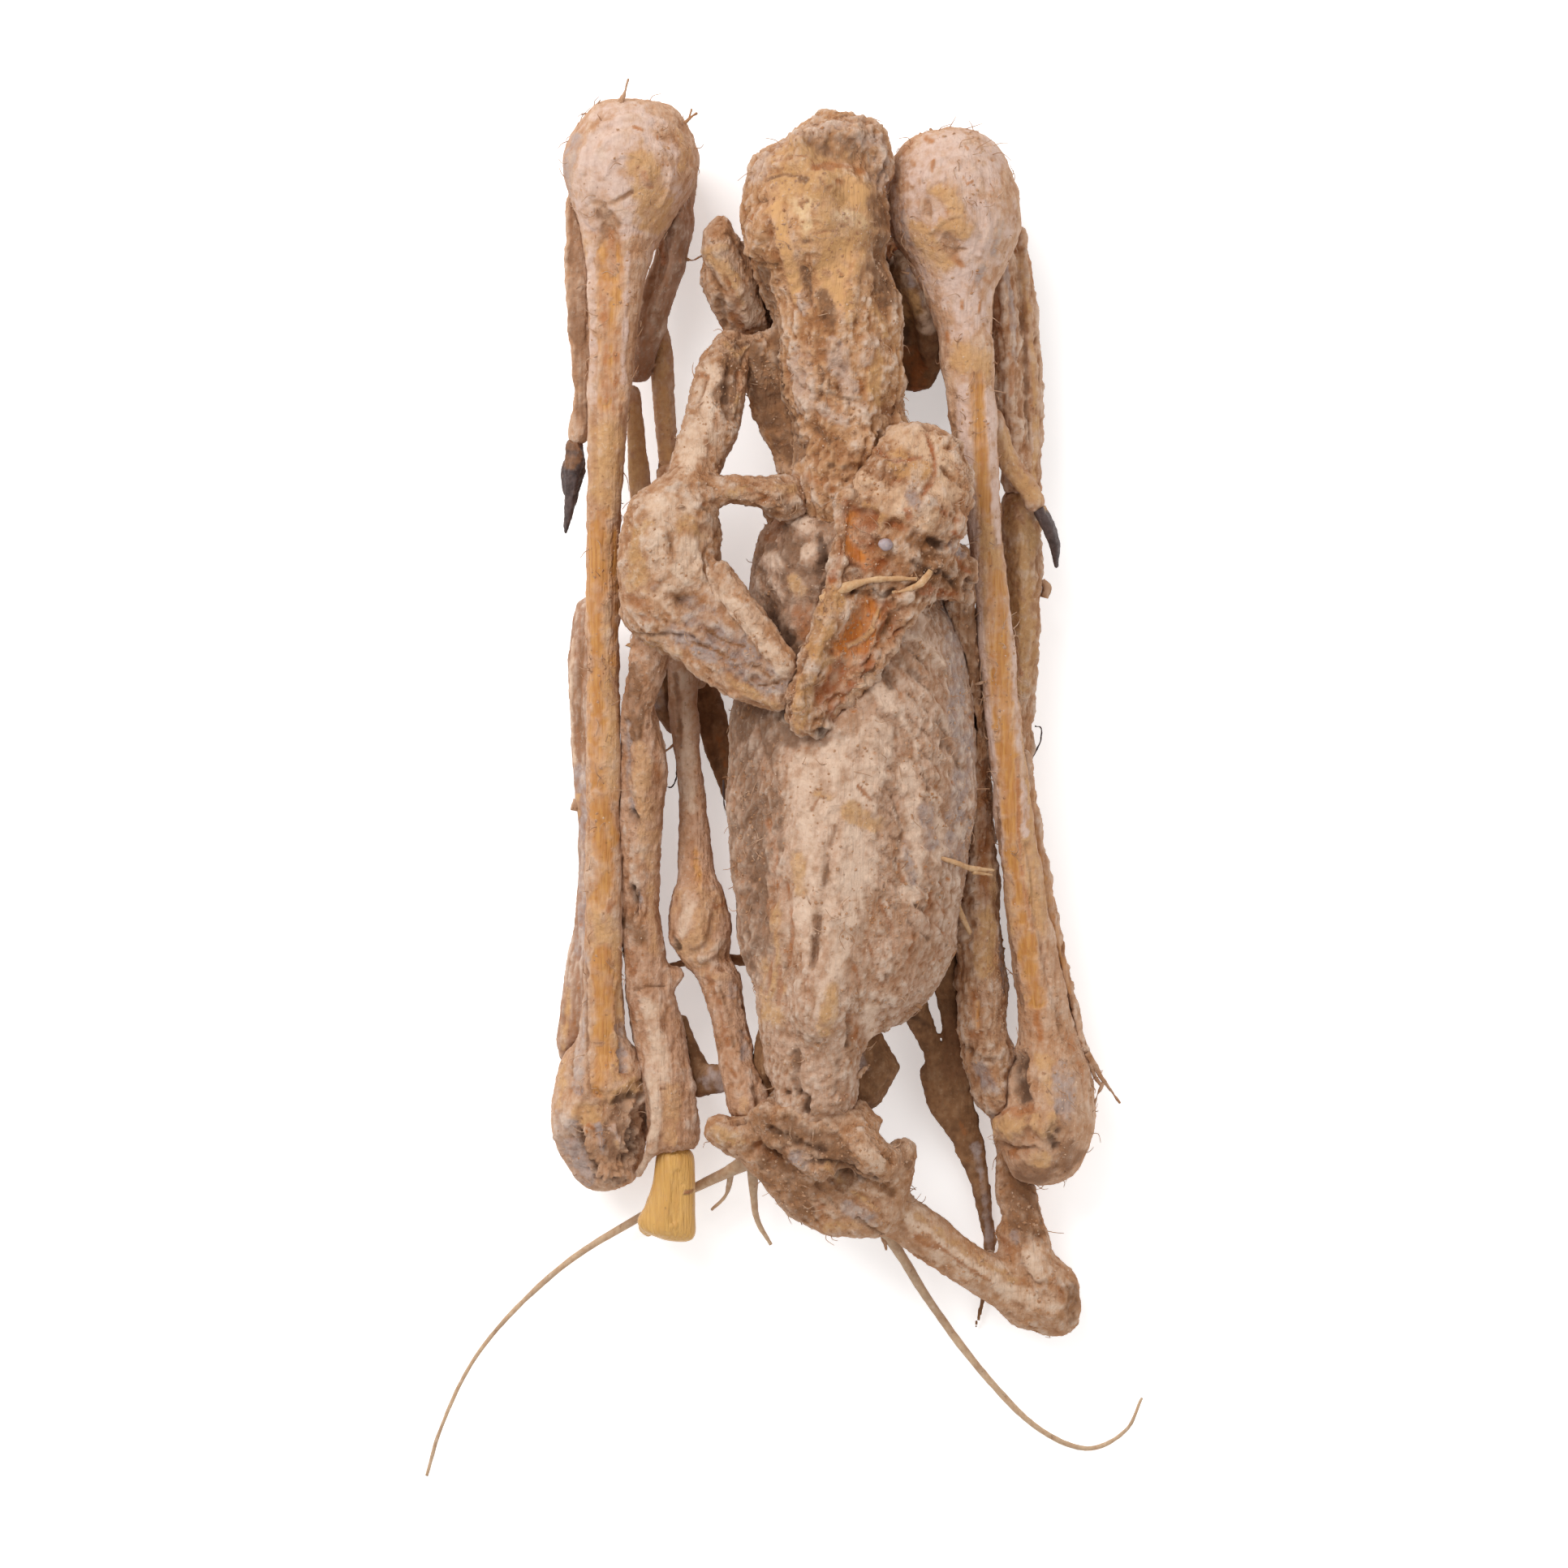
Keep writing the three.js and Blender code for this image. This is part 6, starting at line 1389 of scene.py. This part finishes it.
pieces["brownSkins"] = {
    "nodes": ["wing_fold_right", "wing_skin_right", "flank_left", "flank_right", "groin_skin_left"],
    "coarse": 0.46,
    "voxel": 0.42,
    "material": "skin",
    "slot": "dark_skin",
    "swell": 0.15,
    "soften": 5,
    "surface": {**boneLike, "lumps": (0.3, 4.0)},
    "strokes": [
        ("grey", 1.2, 0.1, (11.8, -44.6), (12.6, -46.6)), ("dark", 0.9, 0, (21, -38), (24, -40)),
        ("brown", 1.8, 0, (27, -40), (28.6, -47)), ("grey", 2, 0.1, (-12.6, -48.6), (-9, -50.4)),
        ("dark", 0.8, -0.1, (-15.4, -51.6), (-14.4, -52.4)), ("rust", 0.6, 0, (28.6, -55), (30, -58)),
        ("grey", 0.8, 0, (31.6, -60), (33.2, -68), (34.2, -78)),
    ],
}

print("pieces")
pieceSeeds, strandSeed, fibreSeed, pebbleSeed = 100, 900, 950, 990
built = {name: buildPiece(name, look, pieceSeeds * i) for i, (name, look) in enumerate(pieces.items())}


# The long finger ends, as tapering strands: each point is x, y, z and radius in mm.
strands = {
    "strandLeft": {
        "node": "fingertip_left",
        "routes": [
            [
                (-4.4, -61.4, 12.6, 1.8), (-9.4, -64.2, 10, 0.95), (-16.6, -67.8, 6.4, 0.75),
                (-22.4, -71, 4.8, 0.7), (-34.6, -78.4, 3.6, 0.55), (-44.6, -87.2, 2.4, 0.42),
                (-52, -96.4, 1.6, 0.34), (-57, -107, 1, 0.3), (-59.4, -115, 0.75, 0.26),
            ],
            [
                (-5.2, -62.6, 11, 1.1), (-5, -68.4, 8, 0.6), (-4.4, -72.4, 5.6, 0.45),
                (-2.2, -76.4, 3.6, 0.3),
            ],
            [(-8.6, -63.6, 10.4, 0.6), (-9.6, -68, 7.6, 0.3), (-12, -70.6, 6, 0.22)],
        ],
    },
    "strandRight": {
        "node": "fingertip_right",
        "routes": [
            [
                (15.6, -72.4, 13.6, 1.1), (19.4, -78, 9, 0.85), (24, -85.6, 5.4, 0.72), (32.4, -97, 3, 0.6),
                (41.4, -106.4, 1.8, 0.48), (50, -110.4, 1.2, 0.4), (56.6, -107.6, 1, 0.32),
                (59.5, -102, 0.75, 0.2),
            ],
        ],
    },
}

print("finger ends")
for number, (name, strand) in enumerate(strands.items()):
    shape = bmesh.new()
    for route in strand["routes"]:
        addTube(shape, route, 14, 10)
    bmesh.ops.recalc_face_normals(shape, faces=shape.faces)
    piece = newObject(name, shape)
    sculpt(piece, {"surface": {**smooth, "lumps": (0.05, 3.0)}}, strandSeed + number)
    piece.data.materials.append(materials["strand"])
    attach(piece, "root")
    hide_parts(strand["node"])

# Loose fibres, slivers of tendon and hairs: material and slot, then each fibre's points.
fibres = {
    "tissueFibres": (
        "tissue",
        "dried_tissue",
        [
            [(-26.8, 111.6, 26, 0.5), (-26.2, 113.4, 25.5, 0.25), (-25.6, 115.8, 25, 0.16)],
            [(-27.4, 111.4, 26, 0.3), (-26.6, 113, 25.6, 0.16)],
            [(-16.4, 108.6, 24, 0.3), (-15.2, 109.6, 24, 0.22), (-14.3, 110.2, 24.4, 0.15)],
            [(-15.6, 109.2, 24, 0.2), (-15.2, 110.9, 24, 0.12)],
            [(-16.4, 86.8, 14, 0.3), (-15, 86.4, 16, 0.16), (-13.2, 87.2, 19, 0.25)],
            [(-24.6, 69.7, 14, 0.35), (-21.4, 69.2, 11, 0.3)],
            [(-17.4, 7.2, 13, 0.22), (-18.8, 6, 12, 0.2), (-20.4, 4.8, 12, 0.3)],
            [(50, -44.4, 14, 0.6), (52.6, -48.6, 12, 0.3), (54, -50.6, 10, 0.2), (55.6, -52.8, 8, 0.14)],
            [(52.8, -49.4, 11.6, 0.25), (51.8, -51.4, 12, 0.18), (51, -53.6, 12, 0.3)],
            [(50.4, -46, 13.6, 0.5), (51.4, -48.4, 12.4, 0.2), (52.6, -50, 11.6, 0.18)],
            [(18, -34.8, 27, 0.6), (20.4, -35.4, 26, 0.5), (22.6, -36.8, 25, 0.3)],
            [
                (19.4, -35, 26, 0.5), (21.4, -33, 26.6, 0.5), (24.4, -31.8, 26, 0.4), (26.6, -30, 24, 0.35),
                (28.2, -27.4, 22, 0.25),
            ],
            [(22, -33.2, 26, 0.3), (21.2, -34.8, 26, 0.15)],
            [(26.6, -15.6, 25, 0.4), (28.2, -15, 24.4, 0.25), (28.9, -14.2, 24, 0.15)],
            [(27, -16.6, 25, 0.4), (28.4, -16.8, 24, 0.22), (29.6, -18.6, 22, 0.15)],
            [(26.6, -22.6, 24, 0.4), (26, -22, 25, 0.3)],
            [(29.6, 16.2, 22, 0.25), (31.4, 16.4, 23.6, 0.25), (33.2, 16.8, 25, 0.2)],
            [(-3.6, -31, 24, 0.5), (-4.7, -32.2, 24, 0.15)],
            [(-2.4, -34.6, 25, 0.5), (-3.9, -35.4, 25, 0.15)],
            [(-2.2, -36.8, 25, 0.6), (-4.1, -37.8, 25, 0.15)],
            [(-1.4, -39.2, 25, 0.6), (-3.4, -40.2, 25, 0.15)],
            [(-2, -33, 25, 0.4), (-3.7, -33.2, 25, 0.12)],
            [(2.4, -71.4, 18, 0.4), (3, -72.6, 18, 0.12)],
            [(16.4, -74.8, 12, 0.5), (16.9, -77, 11, 0.15)],
            [(17.8, 89.4, 24, 0.4), (16, 90, 24, 0.2), (15, 89.6, 24.4, 0.1)],
            [(17.9, 88.4, 24, 0.35), (17.6, 87.4, 24, 0.2), (18.6, 86.6, 24, 0.1)],
            [(20.6, 83.8, 24, 0.3), (19.2, 84.2, 24, 0.1)],
            [(17, 96.4, 24, 0.25), (16.4, 93.8, 24, 0.08)],
            [(17.2, 94.4, 24, 0.25), (15.8, 93, 24, 0.08)],
            [(17.4, 92.6, 24, 0.25), (16.4, 91.8, 24, 0.08)],
            [(24.4, 107, 23, 0.4), (24, 107.8, 23, 0.2)],
            [(42.6, 33.6, 12, 0.6), (43.4, 32.4, 12, 0.9), (43, 30.8, 12, 0.7)],
            [(-34.2, -2.6, 12, 0.6), (-34.6, -4.4, 12, 0.6)],
        ],
    ),
    "slivers": (
        "tendon",
        "dried_tissue",
        [
            [
                (6, 30, 42, 0.7), (8.6, 31.2, 42.8, 0.85), (12.4, 32.8, 43.1, 0.6), (16.6, 33.4, 42.9, 0.5),
                (21.6, 33.4, 42, 0.3),
            ],
            [(6.6, 30.8, 42, 0.5), (9, 31.9, 42.7, 0.6), (12, 33.1, 42.9, 0.3)],
            [
                (17.6, 31.2, 41.2, 0.3), (20, 31.6, 41.8, 0.5), (22.4, 32.8, 42, 0.6),
                (23.8, 34.8, 41.8, 0.4),
            ],
            [(25.2, -12, 31, 0.2), (28, -12.8, 30, 0.45), (30.6, -13.8, 27, 0.5), (34.6, -14.2, 24, 0.25)],
            [(31, -14.4, 26.6, 0.4), (34.2, -14.9, 24, 0.2)],
            [(28.4, -19.4, 22, 0.5), (29.2, -21.6, 21, 0.5), (30.6, -24.6, 19, 0.35)],
        ],
    ),
    "darkHairs": (
        "claw",
        "claw_horn",
        [
            [(-17.7, 3.8, 13, 0.1), (-17.8, 1, 12, 0.1), (-18.6, -0.5, 12, 0.09), (-19.8, -0.3, 12, 0.08)],
            [(-10, 0.6, 14, 0.12), (-9.9, -3.4, 13, 0.1), (-9.2, -6, 13, 0.1), (-7.6, -6.8, 14, 0.1)],
            [
                (41.6, 9.6, 8, 0.16), (42.6, 9.2, 9, 0.2), (42.4, 7, 9, 0.16), (41.2, 4.4, 8, 0.14),
                (40, 2.2, 8, 0.1),
            ],
        ],
    ),
}

print("fibres")
for number, (name, (lookName, slotName, routes)) in enumerate(fibres.items()):
    shape = bmesh.new()
    for route in routes:
        addTube(shape, route, 8, 7)
    bmesh.ops.recalc_face_normals(shape, faces=shape.faces)
    piece = newObject(name, shape)
    sculpt(piece, {"surface": {**smooth, "lumps": (0.15, 1.2)}}, fibreSeed + number)
    piece.data.materials.append(materials[lookName])
    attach(piece, "root")

# Salt flakes, crumbs and short hairs on the upper side: sizes in mm, and how many on each piece.
scatter = {
    "saltFlakes": {
        "look": "salt",
        "sizes": (0.15, 0.4),
        "counts": {
            "headAndNeck": 300, "wingLeft": 90, "wingRight": 110, "trunk": 300,
            "shoulderLeft": 160, "shoulderRight": 160, "pelvisAndLegRight": 90, "armLeft": 50,
        },
    },
    "crumbs": {
        "look": "tissue",
        "sizes": (0.25, 0.75),
        "counts": {
            "headAndNeck": 700, "trunk": 900, "shoulderLeft": 300, "shoulderRight": 500,
            "pelvisAndLegRight": 500, "armRight": 250, "jaw": 150, "wingRight": 150,
            "wingLeft": 150,
        },
    },
    "shortHairs": {
        "look": "hair",
        "sizes": (1.2, 3.4),
        "thickness": 0.085,
        "counts": {
            "wingLeft": 150, "wingRight": 170, "trunk": 200, "headAndNeck": 70,
            "shoulderRight": 50, "pelvisAndLegRight": 60, "shoulderLeft": 40,
        },
    },
}


def spotsOn(piece, count, edges=0.1):  # random places on the piece's upper side, with normals
    places, normals = placesOf(piece.data), normalsOf(piece.data)
    patches = smoothStep(layered(places, 6.0, 77, 2), -0.2, 0.8)
    weight = np.clip(normals[:, 2] + edges, 0, 1) * (0.15 + patches)
    chosen = random.choice(len(places), count, p=weight / weight.sum())
    return places[chosen], normals[chosen]


def flakesAt(places, normals, sizes):  # small irregular eight-faced bits, half sunk in
    count = len(places)
    side = np.cross(normals, random.normal(size=(count, 3)))
    side /= np.linalg.norm(side, axis=1)[:, None]
    other = np.cross(normals, side)
    size = random.uniform(*sizes, count)[:, None] * 0.6
    corners = []
    around = [(side, 1), (other, 0.8), (-side, 0.9), (-other, 0.7)]
    for direction, flat in (*around, (normals, 0.6), (-normals, 0.6)):
        corners.append(places + direction * size * flat * random.uniform(0.7, 1.3, count)[:, None])
    points = np.stack(corners, axis=1).reshape(-1, 3)
    faces = [(0, 1, 4), (1, 2, 4), (2, 3, 4), (3, 0, 4), (1, 0, 5), (2, 1, 5), (3, 2, 5), (0, 3, 5)]
    return points, (np.array(faces)[None] + 6 * np.arange(count)[:, None, None]).reshape(-1, 3)


def finishLoose(piece, look):
    piece.data.materials.append(materials[look])
    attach(piece, "root")


print("loose bits")
for name, kind in scatter.items():
    if "thickness" in kind:
        shape = bmesh.new()
        for source, count in kind["counts"].items():
            for place, normal in zip(*spotsOn(built[source], count, 0.5)):
                ahead = np.cross(normal, random.normal(size=3)) + normal * random.uniform(0, 0.7)
                ahead = ahead / np.linalg.norm(ahead) * random.uniform(*kind["sizes"])
                bow = np.cross(normal, ahead) * random.uniform(-0.35, 0.35)
                arch = place + 0.4 * ahead + bow + 0.3 * normal
                line = [place - 0.1 * normal, arch, place + ahead + 0.1 * normal]
                tubeInto(shape, curved(line, 3), spread([1.0, 0.5], 7) * kind["thickness"], 4)
        piece = newObject(name, shape)
    else:
        counts = kind["counts"].items()
        made = [flakesAt(*spotsOn(built[source], count), kind["sizes"]) for source, count in counts]
        starts = np.cumsum([0] + [len(points) for points, faces in made])
        mesh = bpy.data.meshes.new(name)
        points = np.concatenate([points for points, faces in made])
        faces = np.concatenate([faces + start for (spots, faces), start in zip(made, starts)])
        mesh.from_pydata(((points + middle) * mm).tolist(), [], faces.tolist())
        piece = bpy.data.objects.new(name, mesh)
        bpy.context.scene.collection.objects.link(piece)
    finishLoose(piece, kind["look"])
    print(name, len(piece.data.polygons), "faces")

stone = {"spot": (16.5, 39), "radii": (1.2, 1.05, 0.85), "lift": 0.5}  # a small pebble lies on the shoulder
shoulder = placesOf(built["shoulderRight"].data)
under = shoulder[np.linalg.norm(shoulder[:, :2] - stone["spot"], axis=1) < 1.0]
shape = bmesh.new()
bmesh.ops.create_icosphere(shape, subdivisions=3, radius=1.0)
for vert in shape.verts:
    place = np.array(vert.co) * stone["radii"] + (*stone["spot"], under[:, 2].max() + stone["lift"])
    vert.co = Vector((place + middle) * mm)
pebble = newObject("pebble", shape)
sculpt(pebble, {"surface": {**smooth, "lumps": (0.12, 1.2)}}, pebbleSeed)
finishLoose(pebble, "pebble")

studio = {  # in metres and watts
    "floorColour": (0.95, 0.95, 0.95, 1.0),
    "floorGlow": 0.4,  # the table is lit from below, so shadows stay faint
    "floorRough": 0.9,
    "floorReach": 3.0,
    "lights": {  # place, size and power
        "keyLight": ((-0.45, 0.6, 0.8), 0.7, 9.2),
        "fillLight": ((0.6, -0.4, 0.8), 0.8, 1.8),
    },
    "skyPower": 0.6,
    "cameraHeight": 2.024,  # above the floor
    "lens": 279.5,
    "sensorWidth": 36,
}

print("studio")
floorMesh = bpy.data.meshes.new("floor")
reach = studio["floorReach"]
corners = [(-reach, -reach, 0), (reach, -reach, 0), (reach, reach, 0), (-reach, reach, 0)]
floorMesh.from_pydata(corners, [], [(0, 1, 2, 3)])
floor = bpy.data.objects.new("floor", floorMesh)
bpy.context.scene.collection.objects.link(floor)
floorLook = bpy.data.materials.new("floorPaper")
floorLook.use_nodes = True
paper = floorLook.node_tree.nodes["Principled BSDF"].inputs
paper["Base Color"].default_value = studio["floorColour"]
paper["Roughness"].default_value = studio["floorRough"]
paper["Emission Color"].default_value = (1, 1, 1, 1)
paper["Emission Strength"].default_value = studio["floorGlow"]
floorMesh.materials.append(floorLook)


def addLight(name, place, size, power):
    data = bpy.data.lights.new(name, "AREA")
    data.size = size
    data.energy = power
    lamp = bpy.data.objects.new(name, data)
    lamp.location = place
    lamp.rotation_mode = "QUATERNION"
    lamp.rotation_quaternion = (-Vector(place)).to_track_quat("-Z", "Y")
    bpy.context.scene.collection.objects.link(lamp)


for name, (place, size, power) in studio["lights"].items():
    addLight(name, place, size, power)
world = bpy.data.worlds.new("studio")
world.use_nodes = True
world.node_tree.nodes["Background"].inputs[0].default_value = (1, 1, 1, 1)
world.node_tree.nodes["Background"].inputs[1].default_value = studio["skyPower"]
bpy.context.scene.world = world
bpy.context.scene.view_settings.view_transform = "Standard"

cameraData = bpy.data.cameras.new("camera")
cameraData.lens = studio["lens"]
cameraData.sensor_width = studio["sensorWidth"]
cameraData.clip_end = 10
camera = bpy.data.objects.new("camera", cameraData)
camera.location = (middle[0] * mm, middle[1] * mm, studio["cameraHeight"])
bpy.context.scene.collection.objects.link(camera)
bpy.context.scene.camera = camera
